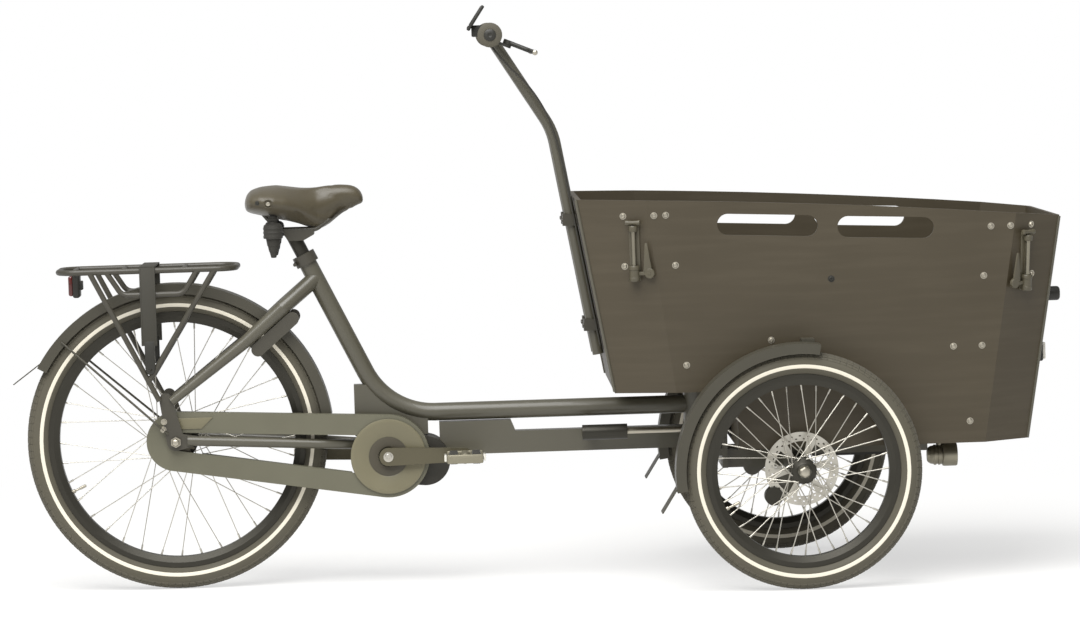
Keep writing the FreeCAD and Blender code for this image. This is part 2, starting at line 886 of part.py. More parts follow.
# Front hubs: distances along each hub run outward from the wheel's middle plane
front_hub_profile = [
    ("stub_radius + run_gap", "-front_hub_in"),
    ("front_hub_end_radius", "-front_hub_in"),
    ("front_hub_end_radius", "-(front_hub_in - rotor_inset)"),
    ("rotor_radius", "-(front_hub_in - rotor_inset)"),
    ("rotor_radius", "-(front_hub_in - rotor_inset - rotor_thick)"),
    ("front_hub_end_radius", "-(front_hub_in - rotor_inset - rotor_thick)"),
    ("front_hub_end_radius", "-(front_flange_inner + flange_thick * 2)"),
    ("front_barrel_radius", "-(front_flange_inner + flange_thick * 2)"),
    ("front_barrel_radius", "-(front_flange_inner + flange_thick)"),
    ("front_flange_radius", "-(front_flange_inner + flange_thick)"),
    ("front_flange_radius", "-front_flange_inner"),
    ("front_barrel_radius", "-front_flange_inner"),
    ("front_barrel_radius", "front_flange_outer"),
    ("front_flange_radius", "front_flange_outer"),
    ("front_flange_radius", "front_flange_outer + flange_thick"),
    ("front_cap_radius", "front_flange_outer + flange_thick"),
    ("front_cap_radius", "front_cap_out"),
    ("stub_radius + run_gap", "front_cap_out"),
]
for side, sign, flanges in (
    ("right", "-1 * ",
     ("-(front_flange_outer + flange_thick / 2)", "front_flange_inner + flange_thick / 2")),
    ("left", "", ("-(front_flange_inner + flange_thick / 2)", "front_flange_outer + flange_thick / 2")),
):
    front = ("front_axle_x", f"{sign}{TRACK}", "front_wheel_radius")
    node(f"front_tyre_{side}", tyre(*front))
    node(f"front_rim_{side}", rim(*front))
    node(f"front_spokes_{side}", spokes(*front, "front_flange_radius", flanges, "front_spoke_radius"))
    node(f"front_hub_{side}", turned(front_hub_profile, *front, OUTBOARD[side]))

# Rear axle, its nuts and the dropout plates
DROPOUT_OUT = "dropout_in + dropout_thick"
node("rear_axle", fuse(
    drum("y", "rear_axle_radius", ("-rear_axle_half", "rear_axle_half"), AXLE_X, "0", "rear_wheel_radius"),
    drum("y", "axle_collar_radius", ("-dropout_in", "-(cog_boss_right + seat_gap)"),
         AXLE_X, "0", "rear_wheel_radius"),
    drum("y", "axle_collar_radius", ("rear_hub_left + seat_gap", "dropout_in"),
         AXLE_X, "0", "rear_wheel_radius"),
    hexagon("axle_nut_radius", (DROPOUT_OUT, f"{DROPOUT_OUT} + axle_nut_high"),
            AXLE_X, "rear_wheel_radius"),
    hexagon("axle_nut_radius", (f"-({DROPOUT_OUT} + axle_nut_high)", f"-({DROPOUT_OUT})"),
            AXLE_X, "rear_wheel_radius"),
))


def dropout(gap):
    """Right dropout plate, grown by a gap on all faces."""
    span = (f"-({DROPOUT_OUT} + {gap})", f"-(dropout_in - {gap})")
    hub = (AXLE_X, "rear_wheel_radius", f"dropout_radius + {gap}")
    upper = belt(hub, (f"{AXLE_X} + lug_x", "rear_wheel_radius + lug_height", f"lug_radius + {gap}"), span)
    forward = belt(hub, (f"{AXLE_X} + arm_x", "rear_wheel_radius + arm_height", f"arm_radius + {gap}"), span)
    return fuse(upper, forward)


dropout_hole = drum("y", "rear_axle_radius + run_gap", (f"-({DROPOUT_OUT} + overrun)", "0"),
                    AXLE_X, "0", "rear_wheel_radius")
node("frame_dropouts", both_sides(cut(dropout("0"), dropout_hole)))
dropout_room = dropout("seat_gap")

# Crank, pedals, sprockets and chain
crank = ("crank_x", "crank_z")
CRANK_OUT = "crank_in + crank_thick"


def crank_arm(reach, span):
    """One crank arm from the spindle to the pedal's eye."""
    return belt((*crank, "crank_boss_radius"), (f"crank_x + {reach}", "crank_z", "crank_eye_radius"), span)


def pedal_hole(reach):
    """Hole through both arms' planes for a pedal's pin."""
    return drum("y", "pedal_pin_radius + run_gap", (f"-({CRANK_OUT} + overrun)", f"{CRANK_OUT} + overrun"),
                f"crank_x + {reach}", "0", "crank_z")


def pedal(reach, side):
    """Pedal block with its pin, at one end of the crank."""
    spans = {
        "right": (("-(pedal_in + pedal_width)", "-pedal_in"), ("-(pedal_in + overrun)", "-crank_in")),
        "left": (("pedal_in", "pedal_in + pedal_width"), ("crank_in", "pedal_in + overrun")),
    }
    middle = f"crank_x + {reach}"
    body_span, pin_span = spans[side]
    tread = belt((f"{middle} - pedal_half", "crank_z", "pedal_radius"),
                 (f"{middle} + pedal_half", "crank_z", "pedal_radius"), body_span)
    return fuse(tread, drum("y", "pedal_pin_radius", pin_span, middle, "0", "crank_z"))


node("crank_arms", cut(
    fuse(drum("y", "spindle_radius", (f"-({CRANK_OUT})", CRANK_OUT), "crank_x", "0", "crank_z"),
         crank_arm("crank_length", (f"-({CRANK_OUT})", "-crank_in")),
         crank_arm("-1 * crank_length", ("crank_in", CRANK_OUT))),
    pedal_hole("crank_length"),
    pedal_hole("-1 * crank_length")))
node("pedal_right", pedal("crank_length", "right"))
node("pedal_left", pedal("-1 * crank_length", "left"))


def toothed(tip, root, teeth, x, z):
    """Toothed disc on the chain line."""
    middle = spot(x, "-(chain_line + sprocket_thick / 2)", z)
    points = []
    for step in range(teeth):
        for radius, share in zip((root, root, tip, tip), TOOTH_SHARES):
            points.append(middle + polar(size(radius), (step + share) / teeth))
    face = Part.Face(Part.makePolygon(points + points[:1]))
    return shaped(face.extrude(SIDEWAYS * size("sprocket_thick")))


node("chainring", cut(
    fuse(toothed("ring_tip_radius", "ring_root_radius", RING_TEETH, *crank),
         drum("y", "ring_boss_radius", ("-ring_boss_right", "-case_left"), "crank_x", "0", "crank_z")),
    drum("y", "spindle_radius + run_gap", ("-(ring_boss_right + overrun)", "0"),
         "crank_x", "0", "crank_z")))
node("rear_sprocket", cut(
    fuse(toothed("cog_tip_radius", "cog_root_radius", COG_TEETH, AXLE_X, "rear_wheel_radius"),
         drum("y", "cog_boss_radius", ("-cog_boss_right", "-(rear_hub_right + seat_gap)"),
              AXLE_X, "0", "rear_wheel_radius")),
    drum("y", rear_bore, ("-(cog_boss_right + overrun)", "0"), AXLE_X, "0", "rear_wheel_radius")))


def drive_belt(front_radius, rear_radius, span):
    """Belt outline round the crank and the rear axle."""
    return belt((*crank, front_radius), (AXLE_X, "rear_wheel_radius", rear_radius), span)


node("chain", cut(
    drive_belt("ring_tip_radius + chain_outer", "cog_tip_radius + chain_outer",
               ("-(chain_line + chain_half)", "-(chain_line - chain_half)")),
    drive_belt("ring_tip_radius - chain_inner", "cog_tip_radius - chain_inner",
               ("-(chain_line + chain_half + overrun)", "-(chain_line - chain_half - overrun)")),
    drive_belt("ring_tip_radius + tooth_clear", "cog_tip_radius + tooth_clear",
               ("-(chain_line + chain_groove_half)", "-(chain_line - chain_groove_half)"))))

# Chain case: a shell with a long window, open inward round both shafts, and a disc over the crank
case_through = ("-(case_right + overrun)", "-(case_left - overrun)")
case_room = ("-(case_right - case_wall)", "-(case_left + case_wall)")
case_open = ("-(case_right - case_wall)", "-(case_left - overrun)")
case_cavity = cut(
    drive_belt("case_front_radius - case_wall", "case_rear_radius - case_wall", case_room),
    drive_belt("window_front_radius + case_wall", "window_rear_radius + case_wall", case_through))
case_shell = cut(
    drive_belt("case_front_radius", "case_rear_radius", ("-case_right", "-case_left")),
    case_cavity,
    drive_belt("window_front_radius", "window_rear_radius", case_through),
    drum("y", "case_front_radius - case_wall", case_open, "crank_x", "0", "crank_z"),
    drum("y", "case_rear_radius - case_wall", case_open, AXLE_X, "0", "rear_wheel_radius"))
case_disc_span = ("-(case_right + case_disc_thick)", "-case_right")
case_disc = cut(
    drum("y", "case_disc_radius", case_disc_span, "crank_x", "0", "crank_z"),
    drum("y", "case_disc_hole", case_through, "crank_x", "0", "crank_z"))
node("chain_case", group(case_shell, case_disc))


def motor_block(gap):
    """Motor housing round the crank spindle, grown by a gap."""
    return belt((*crank, f"motor_radius + {gap}"),
                ("motor_nose_x", "motor_nose_z", f"motor_nose_radius + {gap}"),
                ("-motor_right", "motor_left"))


node("motor", cut(motor_block("0"), drum(
    "y", "spindle_radius + run_gap", ("-(motor_right + overrun)", "motor_left + overrun"),
    "crank_x", "0", "crank_z")))
motor_room = motor_block("seat_gap")

# Frame: one bent main tube from the seat to the head, a lower rail, stays and a gusset
SEAT_RUN = "(bend_x - seat_top_x)"
SEAT_RISE = f"({SEAT_TOP_Z} - bend_z)"
SEAT_SIN = f"({SEAT_RUN} / sqrt({SEAT_RUN} ^ 2 + {SEAT_RISE} ^ 2))"
SEAT_COS = f"({SEAT_RISE} / sqrt({SEAT_RUN} ^ 2 + {SEAT_RISE} ^ 2))"
SEAT_TURN = Rotation(SIDEWAYS, -math.degrees(math.asin(size(SEAT_SIN))))


def seat_drum(radius, low, high):
    """Cylinder on the seat tube's axis, between two places along it from the tube's mouth."""
    item = doc.addObject("Part::Cylinder", "SeatDrum")
    bind(item, Radius=radius, Height=f"{high} - ({low})")
    return place(item, f"seat_top_x - ({low}) * {SEAT_SIN}", "0",
                 f"{SEAT_TOP_Z} + ({low}) * {SEAT_COS}", SEAT_TURN)


main_route = [("seat_top_x", "0", SEAT_TOP_Z), ("bend_x", "0", "bend_z"), ("king_x", "0", "bend_z")]
main_room = tube(main_route, "main_radius + seat_gap", "main_bend")
head_room = drum("z", "head_radius + seat_gap", ("head_bottom - overrun", "head_top + overrun"), "king_x")
node("frame_main_tube", cut(
    tube(main_route, "main_radius", "main_bend"),
    head_room,
    seat_drum("post_radius + run_gap", "-post_bore_deep", "overrun")))
girder = plate([
    ("girder_rear_x", "head_bottom"),
    ("king_x", "head_bottom"),
    ("king_x", "rail_top_z"),
    ("girder_step_x + girder_ramp", "rail_top_z"),
    ("girder_step_x", "girder_top_z"),
    ("girder_rear_x", "girder_top_z"),
], ("-girder_half", "girder_half"))
king_bore = drum("z", "king_radius + run_gap", ("head_bottom - overrun", "head_top + overrun"), "king_x")
node("frame_lower_rail", cut(
    fuse(girder, drum("z", "head_radius", ("head_bottom", "head_top"), "king_x")),
    king_bore,
    motor_room))
node("frame_gusset", cut(
    plate([
        ("gusset_x", "gusset_low_z"),
        ("gusset_front_x", "gusset_low_z"),
        ("gusset_front_x", "bend_z"),
        ("gusset_mid_x", "gusset_mid_z"),
        (f"seat_top_x + ({SEAT_TOP_Z} - gusset_high_z) * {SEAT_RUN} / {SEAT_RISE}", "gusset_high_z"),
        ("gusset_x", "gusset_high_z"),
    ], ("-gusset_half", "gusset_half")),
    main_room,
    motor_room))
KNEE_REACH = "(rear_wheel_radius + stay_knee_gap)"
KNEE_X = f"({AXLE_X} + {KNEE_REACH} * {KNEE_SHARES[0]})"
KNEE_Z = f"(rear_wheel_radius + {KNEE_REACH} * {KNEE_SHARES[1]})"
BRIDGE_REACH = "(rear_wheel_radius + guard_gap + guard_thick + seat_gap + bridge_radius)"
STAY_FOOT_X = f"({AXLE_X} + stay_foot_x)"
STAY_FOOT_Y = "(dropout_in + dropout_thick / 2)"
STAY_FOOT_Z = "(rear_wheel_radius + stay_foot_height)"
stay_bridge = drum("y", "bridge_radius", ("-stay_knee_y", "stay_knee_y"),
                   f"{AXLE_X} + {BRIDGE_REACH} * {KNEE_SHARES[0]}", "0",
                   f"rear_wheel_radius + {BRIDGE_REACH} * {KNEE_SHARES[1]}")
BOW_X = f"({AXLE_X} + stay_bow_x)"
BOW_Z = "(rear_wheel_radius + stay_bow_height)"
right_stay = tapered(
    (f"seat_top_x + stay_top_down * {SEAT_SIN}", "-stay_top_y",
     f"{SEAT_TOP_Z} - stay_top_down * {SEAT_COS}", "stay_top_radius"),
    (KNEE_X, "-stay_knee_y", KNEE_Z, "stay_knee_radius"),
    (BOW_X, "-stay_bow_y", BOW_Z, "stay_bow_radius"),
    (STAY_FOOT_X, f"-{STAY_FOOT_Y}", STAY_FOOT_Z, "stay_foot_radius"))
node("frame_seat_stays", cut(
    fuse(right_stay, mirror(right_stay), stay_bridge),
    main_room,
    dropout_room,
    mirror(dropout_room)))
CHAIN_SLOPE = f"((crank_z - rear_wheel_radius) / (crank_x - {AXLE_X}))"
CHAIN_LEVEL = f"(rear_wheel_radius + {CHAIN_SLOPE} * (chain_stay_knee_x - {AXLE_X}))"
right_chain_stay = tube([
    (f"{AXLE_X} + chain_stay_rear_x", f"-{STAY_FOOT_Y}", "rear_wheel_radius + arm_height"),
    ("chain_stay_knee_x", "-chain_stay_knee_y", f"{CHAIN_LEVEL} + chain_stay_over"),
    ("chain_stay_front_x", "-chain_stay_front_y", "chain_stay_front_z"),
], "chain_stay_radius", "chain_stay_bend")
node("frame_chain_stays", both_sides(cut(right_chain_stay, motor_room, dropout_room)))
node("seat_clamp", cut(
    fuse(seat_drum("main_radius + clamp_wall", "-clamp_high", "0"),
         drum("y", "clamp_bolt_radius", ("-clamp_bolt_half", "clamp_bolt_half"),
              f"seat_top_x - (main_radius + clamp_wall) * {SEAT_COS} + clamp_high / 2 * {SEAT_SIN}", "0",
              f"{SEAT_TOP_Z} - (main_radius + clamp_wall) * {SEAT_SIN} - clamp_high / 2 * {SEAT_COS}")),
    seat_drum("main_radius + run_gap", "-(clamp_high + overrun)", "overrun")))
node("damper_cylinder", cut(
    fuse(drum("x", "damper_radius", ("damper_x", "damper_x + damper_length"), "0", "-damper_y", "damper_z"),
         drum("y", "damper_stud_radius", ("-damper_y", "-girder_half"),
              "damper_x + damper_radius", "0", "damper_z")),
    drum("x", "damper_rod_radius + run_gap",
         ("damper_x + damper_rear_wall", "damper_x + damper_length + overrun"),
         "0", "-damper_y", "damper_z")))

# Mudguards: channel arcs over the wheels, each ending in a flap


def mudguard(wheel_radius, gap, half, x, y, shares):
    """Channel-shaped mudguard between two shares of a turn round its wheel."""
    inner = f"{wheel_radius} + {gap}"
    low = f"{inner} - guard_lip"
    side = f"{half} - guard_thick"
    points = [
        (f"{inner} + guard_thick", f"-{half}"),
        (f"{inner} + guard_thick", half),
        (low, half),
        (low, side),
        (inner, side),
        (inner, f"-({side})"),
        (low, f"-({side})"),
        (low, f"-{half}"),
    ]
    start, end = shares
    return turned(points, x, y, wheel_radius, Rotation(SIDEWAYS, -360 * end), end - start)


def guard_flap(wheel_radius, gap, half, x, y, share, flare, tip_shares):
    """Flap that carries on from a mudguard's end, flared away from the wheel."""
    centre = spot(x, f"{y} - {half}", wheel_radius)
    inner = size(f"{wheel_radius} + {gap}")
    thick = size("guard_thick")
    reach = size(f"{wheel_radius} + {flare}")
    tip = centre + Vector(tip_shares[0], 0, tip_shares[1]) * reach
    outward = polar(thick, share)
    root = centre + polar(inner, share - FLAP_LAP_SHARE)
    face = Part.Face(Part.makePolygon([root, tip, tip + outward, root + outward, root]))
    return shaped(face.extrude(SIDEWAYS * size(f"{half} * 2")))


RACK_Y = f"({DROPOUT_OUT} + seat_gap + rack_radius)"
GUARD_WIRE_REACH = "(rear_wheel_radius + guard_gap - guard_lip / 2)"
GUARD_WIRE_Y = f"({DROPOUT_OUT} + seat_gap + guard_wire_radius)"
rear_guard = ("rear_wheel_radius", "guard_gap", "guard_half", AXLE_X, "0")
guard_wire = tube([
    (f"{AXLE_X} + {GUARD_WIRE_REACH} * ({GUARD_WIRE_SHARES[0]})", "-(guard_half + guard_wire_radius)",
     f"rear_wheel_radius + {GUARD_WIRE_REACH} * {GUARD_WIRE_SHARES[1]}"),
    (f"{AXLE_X} + guard_wire_knee_x", f"-{GUARD_WIRE_Y}", "rear_wheel_radius + guard_wire_knee_height"),
    (f"{AXLE_X} + guard_wire_foot_x", f"-{GUARD_WIRE_Y}", "rear_wheel_radius + guard_wire_foot_height"),
], "guard_wire_radius", "guard_wire_bend")
node("rear_mudguard", group(
    fuse(mudguard(*rear_guard, REAR_GUARD_SHARES),
         guard_flap(*rear_guard, REAR_GUARD_SHARES[1], "rear_flap_flare", REAR_FLAP_SHARES)),
    guard_wire,
    mirror(guard_wire)))

# Carrier, its straps, the tail lamp and the ring lock
rack_half = tube([
    (f"{AXLE_X} + rack_rear_x", "0", RACK_Z),
    (f"{AXLE_X} + rack_rear_x", f"-{RACK_Y}", RACK_Z),
    (f"{AXLE_X} + rack_front_x", f"-{RACK_Y}", RACK_Z),
    (f"{AXLE_X} + rack_front_x", "0", RACK_Z),
], "rack_radius", "rack_corner", "rack_corner")
rack_rail = tube([
    (f"{AXLE_X} + rack_rail_rear_x", f"-{RACK_Y}", RACK_Z),
    (f"{AXLE_X} + rack_rail_rear_low_x", f"-{RACK_Y}", f"{RACK_Z} - rack_rail_drop"),
    (f"{AXLE_X} + rack_rail_front_low_x", f"-{RACK_Y}", f"{RACK_Z} - rack_rail_drop"),
    (f"{AXLE_X} + rack_rail_front_x", f"-{RACK_Y}", RACK_Z),
], "rack_leg_radius", "rack_rail_bend", "rack_rail_bend")
rack_rear_leg = tube([
    (f"{AXLE_X} + rack_leg_rear_x", f"-{RACK_Y}", RACK_Z),
    (f"{AXLE_X} + rack_leg_foot_x", f"-{RACK_Y}", "rear_wheel_radius + rack_leg_foot_height"),
], "rack_leg_radius")
rack_front_leg = tube([
    (f"{AXLE_X} + rack_leg_front_x", f"-{RACK_Y}", RACK_Z),
    (f"{AXLE_X} + rack_leg_join_x", f"-{RACK_Y}", "rear_wheel_radius + rack_leg_join_height"),
], "rack_leg_radius")
rack_side = fuse(rack_half, rack_rail, rack_rear_leg, rack_front_leg)
rack_bars = [drum("y", "rack_bar_radius", (f"-{RACK_Y}", RACK_Y), f"{AXLE_X} + {x}", "0", RACK_Z)
             for x in ("lamp_bar_x", "rack_rail_rear_low_x", "rack_rail_front_low_x")]
node("carrier", fuse(rack_side, mirror(rack_side), *rack_bars))
STRAP_IN = f"({RACK_Y} + rack_radius + seat_gap)"
STRAP_TOP = f"({RACK_Z} + rack_radius + seat_gap)"
STRAP_X = f"({AXLE_X} + strap_x)"
strap_x = (f"{STRAP_X} - strap_half", f"{STRAP_X} + strap_half")
strap_y = (f"-({STRAP_IN} + strap_thick)", f"-{STRAP_IN}")
strap_side = fuse(
    block(strap_x, strap_y, (f"{RACK_Z} - strap_drop", f"{STRAP_TOP} + strap_thick")),
    block((f"{STRAP_X} - hook_half", f"{STRAP_X} + hook_half"), strap_y,
          (f"{RACK_Z} - hook_drop", f"{RACK_Z} - strap_drop")))
strap_top = block(strap_x, (f"-{STRAP_IN}", STRAP_IN), (STRAP_TOP, f"{STRAP_TOP} + strap_thick"))
node("carrier_strap", fuse(strap_side, mirror(strap_side), strap_top))
LAMP_X = f"({AXLE_X} + lamp_bar_x)"
node("tail_lamp", fuse(
    block((f"{LAMP_X} - tail_lamp_half", f"{LAMP_X} + tail_lamp_half"),
          ("-tail_lamp_wide_half", "tail_lamp_wide_half"),
          (f"{RACK_Z} - tail_lamp_drop - tail_lamp_tall", f"{RACK_Z} - tail_lamp_drop")),
    block((f"{LAMP_X} - rack_bar_radius", f"{LAMP_X} + rack_bar_radius"),
          ("-tail_lamp_half", "tail_lamp_half"),
          (f"{RACK_Z} - tail_lamp_drop", f"{RACK_Z} - rack_bar_radius - seat_gap"))))
LOCK_RUN = f"({KNEE_X} - {BOW_X})"
LOCK_RISE = f"({KNEE_Z} - {BOW_Z})"
LOCK_SPAN = f"sqrt({LOCK_RUN} ^ 2 + {LOCK_RISE} ^ 2)"
LOCK_DROP = "(stay_knee_radius + lock_gap + lock_radius)"
LOCK_X = f"({KNEE_X} + {LOCK_DROP} * {LOCK_RISE} / {LOCK_SPAN})"
LOCK_Z = f"({KNEE_Z} - {LOCK_DROP} * {LOCK_RUN} / {LOCK_SPAN})"
lock_cheek = belt((f"{LOCK_X} - lock_length * {LOCK_RUN} / {LOCK_SPAN}",
                   f"{LOCK_Z} - lock_length * {LOCK_RISE} / {LOCK_SPAN}", "lock_radius"),
                  (LOCK_X, LOCK_Z, "lock_radius"), ("-(lock_in + lock_thick)", "-lock_in"))
node("ring_lock", fuse(
    lock_cheek,
    mirror(lock_cheek),
    drum("y", "lock_bar_radius", ("-lock_in", "lock_in"), LOCK_X, "0", LOCK_Z)))

# Seat: post, cradle with rails, elastomer springs and a padded cover
POST_TOP_X = f"(seat_top_x - post_up * {SEAT_SIN})"
POST_TOP_Z = f"({SEAT_TOP_Z} + post_up * {SEAT_COS})"
node("seatpost", seat_drum("post_radius", "-(post_length - post_up)", "post_up"))


def saddle_section(along, wide, low, high):
    """Closed section of the cover: flat base, drawn-in sides and a crowned top."""
    x = size(f"{POST_TOP_X} - saddle_back + saddle_length * {along}")
    half = size(f"saddle_half * {wide}")
    base = size(f"{POST_TOP_Z} + saddle_base_height + saddle_high * {low}")
    crown = size(f"{POST_TOP_Z} + saddle_base_height + saddle_high * {high}")
    shoulder = base + (crown - base) * SADDLE_SHOULDER_SHARE
    tuck = half * SADDLE_TUCK_SHARE
    right_base, left_base = Vector(x, -tuck, base), Vector(x, tuck, base)
    right, left = Vector(x, -half, shoulder), Vector(x, half, shoulder)
    return Part.Wire([
        Part.makeLine(right_base, left_base),
        Part.makeLine(left_base, left),
        Part.Arc(left, Vector(x, 0, crown), right).toShape(),
        Part.makeLine(right, right_base),
    ])


saddle_shape = Part.makeLoft([saddle_section(*station) for station in SADDLE_SHARES], True, True)
RAIL_Z = f"({POST_TOP_Z} + saddle_rail_height)"
CHANNEL_HALF = "(saddle_rail_half + saddle_rail_radius + saddle_channel_clear)"
rail_channel = block((f"{POST_TOP_X} - saddle_back - overrun", f"{POST_TOP_X} + saddle_rail_ahead + overrun"),
                     (f"-{CHANNEL_HALF}", CHANNEL_HALF),
                     (f"{POST_TOP_Z} - overrun", f"{POST_TOP_Z} + saddle_channel_height"))
saddle_room = cut(shaped(saddle_shape), rail_channel)
node("saddle_cover", saddle_room)
saddle_rail = tube([
    (f"{POST_TOP_X} - saddle_rail_back", "-saddle_rail_half", f"{POST_TOP_Z} + saddle_rail_high"),
    (f"{POST_TOP_X} - saddle_rail_back + saddle_rail_ramp", "-saddle_rail_half", RAIL_Z),
    (f"{POST_TOP_X} + saddle_rail_ahead - saddle_nose_ramp", "-saddle_rail_half", RAIL_Z),
    (f"{POST_TOP_X} + saddle_rail_ahead", "-saddle_nose_rail_half", f"{POST_TOP_Z} + saddle_rail_high"),
], "saddle_rail_radius", "saddle_rail_bend", "saddle_rail_bend")
CRADLE_LOW = f"{POST_TOP_Z} - cradle_drop"
CRADLE_EDGE = f"{RAIL_Z} - cradle_thick"
cradle = plate([
    (f"{POST_TOP_X} - cradle_back", RAIL_Z),
    (f"{POST_TOP_X} - cradle_back", CRADLE_EDGE),
    (f"{POST_TOP_X} - cradle_foot_back", CRADLE_LOW),
    (f"{POST_TOP_X} + cradle_foot_ahead", CRADLE_LOW),
    (f"{POST_TOP_X} + cradle_ahead", CRADLE_EDGE),
    (f"{POST_TOP_X} + cradle_ahead", RAIL_Z),
], ("-cradle_wide_half", "cradle_wide_half"))
node("saddle_frame", cut(
    fuse(saddle_rail, mirror(saddle_rail), cradle),
    seat_drum("post_radius + run_gap", "-post_up", "post_up"),
    saddle_room))
SPRING_X = f"({POST_TOP_X} - spring_back)"
SPRING_LOW = f"({POST_TOP_Z} - spring_drop)"
SPRING_WAIST = f"({SPRING_LOW} + spring_cone_tall)"
SPRING_SHOULDER = f"({SPRING_WAIST} + spring_barrel_tall)"
spring_cone = doc.addObject("Part::Cone", "SpringCone")
bind(spring_cone, Radius1="spring_tip_radius", Radius2="spring_waist_radius", Height="spring_cone_tall")
place(spring_cone, SPRING_X, "-spring_y", SPRING_LOW)
saddle_spring = fuse(
    spring_cone,
    drum("z", "spring_radius", (SPRING_WAIST, SPRING_SHOULDER), SPRING_X, "-spring_y"),
    drum("z", "spring_neck_radius", (SPRING_SHOULDER, f"{SPRING_SHOULDER} + spring_neck_tall"),
         SPRING_X, "-spring_y"))
node("saddle_springs", both_sides(cut(saddle_spring, saddle_room)))

# Carriage that steers about the kingpin and carries the box and the front wheels
LOW_PLATE = ("head_bottom - seat_gap - low_plate_thick", "head_bottom - seat_gap")
TOP_PLATE = ("head_top + seat_gap", "head_top + seat_gap + top_plate_thick")
RAISED_BED = "(head_top + seat_gap * 2 + top_plate_thick)"
BED_SEAT = f"({BED} - seat_gap)"
plate_x = ("king_x - plate_reach", "king_x + web_x + web_thick")
carriage_y = ("-plate_half", "plate_half")
beam_z = ("front_wheel_radius - beam_half", "front_wheel_radius + beam_half")
side_beam = block(("king_x + web_x", "front_axle_x"),
                  ("side_beam_in", "side_beam_in + side_beam_thick"), beam_z)
bed_pad = block(("front_axle_x - beam_half", "front_axle_x + beam_half"),
                ("bed_pad_y - bed_pad_half", "bed_pad_y + bed_pad_half"), ("front_wheel_radius", BED_SEAT))
stub = fuse(
    drum("y", "stub_radius", ("0", f"{TRACK} + stub_out"), "front_axle_x", "0", "front_wheel_radius"),
    drum("y", "stub_collar_radius", ("0", f"{TRACK} - front_hub_in - seat_gap"),
         "front_axle_x", "0", "front_wheel_radius"),
    hexagon("stub_nut_radius", (f"{TRACK} + front_cap_out + seat_gap",
                                f"{TRACK} + front_cap_out + seat_gap + stub_nut_high"),
            "front_axle_x", "front_wheel_radius"),
    belt(("front_axle_x", "front_wheel_radius", "caliper_plate_radius"),
         ("front_axle_x - caliper_back", "front_wheel_radius - caliper_drop", "caliper_radius"),
         (f"{BEAM_END} - caliper_plate_thick", BEAM_END)))
carriage_side = fuse(side_beam, bed_pad, stub)
carriage_plates = cut(
    fuse(block(plate_x, carriage_y, LOW_PLATE),
         block(plate_x, carriage_y, TOP_PLATE),
         block(("king_x + web_x", "king_x + web_x + web_thick"), carriage_y,
               (f"min({beam_z[0]}; {LOW_PLATE[0]})", TOP_PLATE[1]))),
    drum("z", "king_radius + run_gap", (f"{LOW_PLATE[0]} - overrun", f"{TOP_PLATE[1]} + overrun"),
         "king_x"))
node("carriage_frame", fuse(
    carriage_plates,
    carriage_side,
    mirror(carriage_side),
    block(("front_axle_x - beam_half", "front_axle_x + beam_half"), (f"-{BEAM_END}", BEAM_END), beam_z),
    block(("front_axle_x", "front_beam_x"), ("-beam_half", "beam_half"), ("front_wheel_radius", BED_SEAT)),
    drum("z", "damper_stud_radius", (LOW_PLATE[0], "damper_z - damper_eye_half - damper_eye_gap"),
         "damper_eye_x", "-damper_y")))
node("kingpin", fuse(
    drum("z", "king_radius", (LOW_PLATE[0], TOP_PLATE[1]), "king_x"),
    drum("z", "king_flange_radius", (f"{LOW_PLATE[0]} - king_flange_thick", LOW_PLATE[0]), "king_x")))
ROTOR_Y = f"({TRACK} - front_hub_in + rotor_inset + rotor_thick / 2)"
caliper = ("front_axle_x - caliper_back", "front_wheel_radius - caliper_drop")
caliper_slot = drum("y", "rotor_radius + caliper_slot",
                    (f"{ROTOR_Y} - caliper_slot / 2", f"{ROTOR_Y} + caliper_slot / 2"),
                    "front_axle_x", "0", "front_wheel_radius")
node("brake_calipers", both_sides(cut(
    drum("y", "caliper_radius", (f"{BEAM_END} + seat_gap", f"{BEAM_END} + caliper_thick"),
         caliper[0], "0", caliper[1]),
    caliper_slot)))
node("damper_rod", fuse(
    drum("x", "damper_rod_radius", ("damper_rod_in", "damper_eye_x"), "0", "-damper_y", "damper_z"),
    drum("z", "damper_eye_radius", ("damper_z - damper_eye_half", "damper_z + damper_eye_half"),
         "damper_eye_x", "-damper_y")))

# Cargo box: a flared shell of folded walls, split into its panels, over a stepped floor


def box_plan(level, inset):
    """Plan outline of the box at one level, drawn in by an inset."""
    half = [
        (f"box_rear_{level}_x + {inset}",
         f"box_half - box_rear_{level}_cut - {inset} * {REAR_CORNER_SHARE}"),
        (f"box_rear_fold_{level}_x + {inset} * {REAR_FOLD_SHARE}", f"box_half - {inset}"),
        (f"box_front_fold_{level}_x - {inset} * {FRONT_FOLD_SHARE}", f"box_half - {inset}"),
        (f"box_front_{level}_x - {inset}",
         f"box_half - box_front_{level}_cut - {inset} * {FRONT_CORNER_SHARE}"),
    ]
    return [(x, f"-({y})") for x, y in half] + list(reversed(half))


def box_loft(body, inset, kind):
    """Ruled loft between the low and the top plan of the box."""
    sketches = []
    for level, z in (("low", BED), ("top", BOX_TOP)):
        sketch = new_sketch(body, "XY_Plane", z)
        draw_polygon(sketch, box_plan(level, inset))
        sketches.append(sketch)
    doc.recompute()
    loft = body.newObject(kind, "Loft")
    loft.Profile = sketches[0]
    loft.Sections = [sketches[1]]
    loft.Ruled = True
    body.Tip = loft


def box_block(inset):
    """Solid block of the box's outer form, drawn in by an inset."""
    body = new_body("BoxBlock")
    box_loft(body, inset, "PartDesign::AdditiveLoft")
    return place(body)


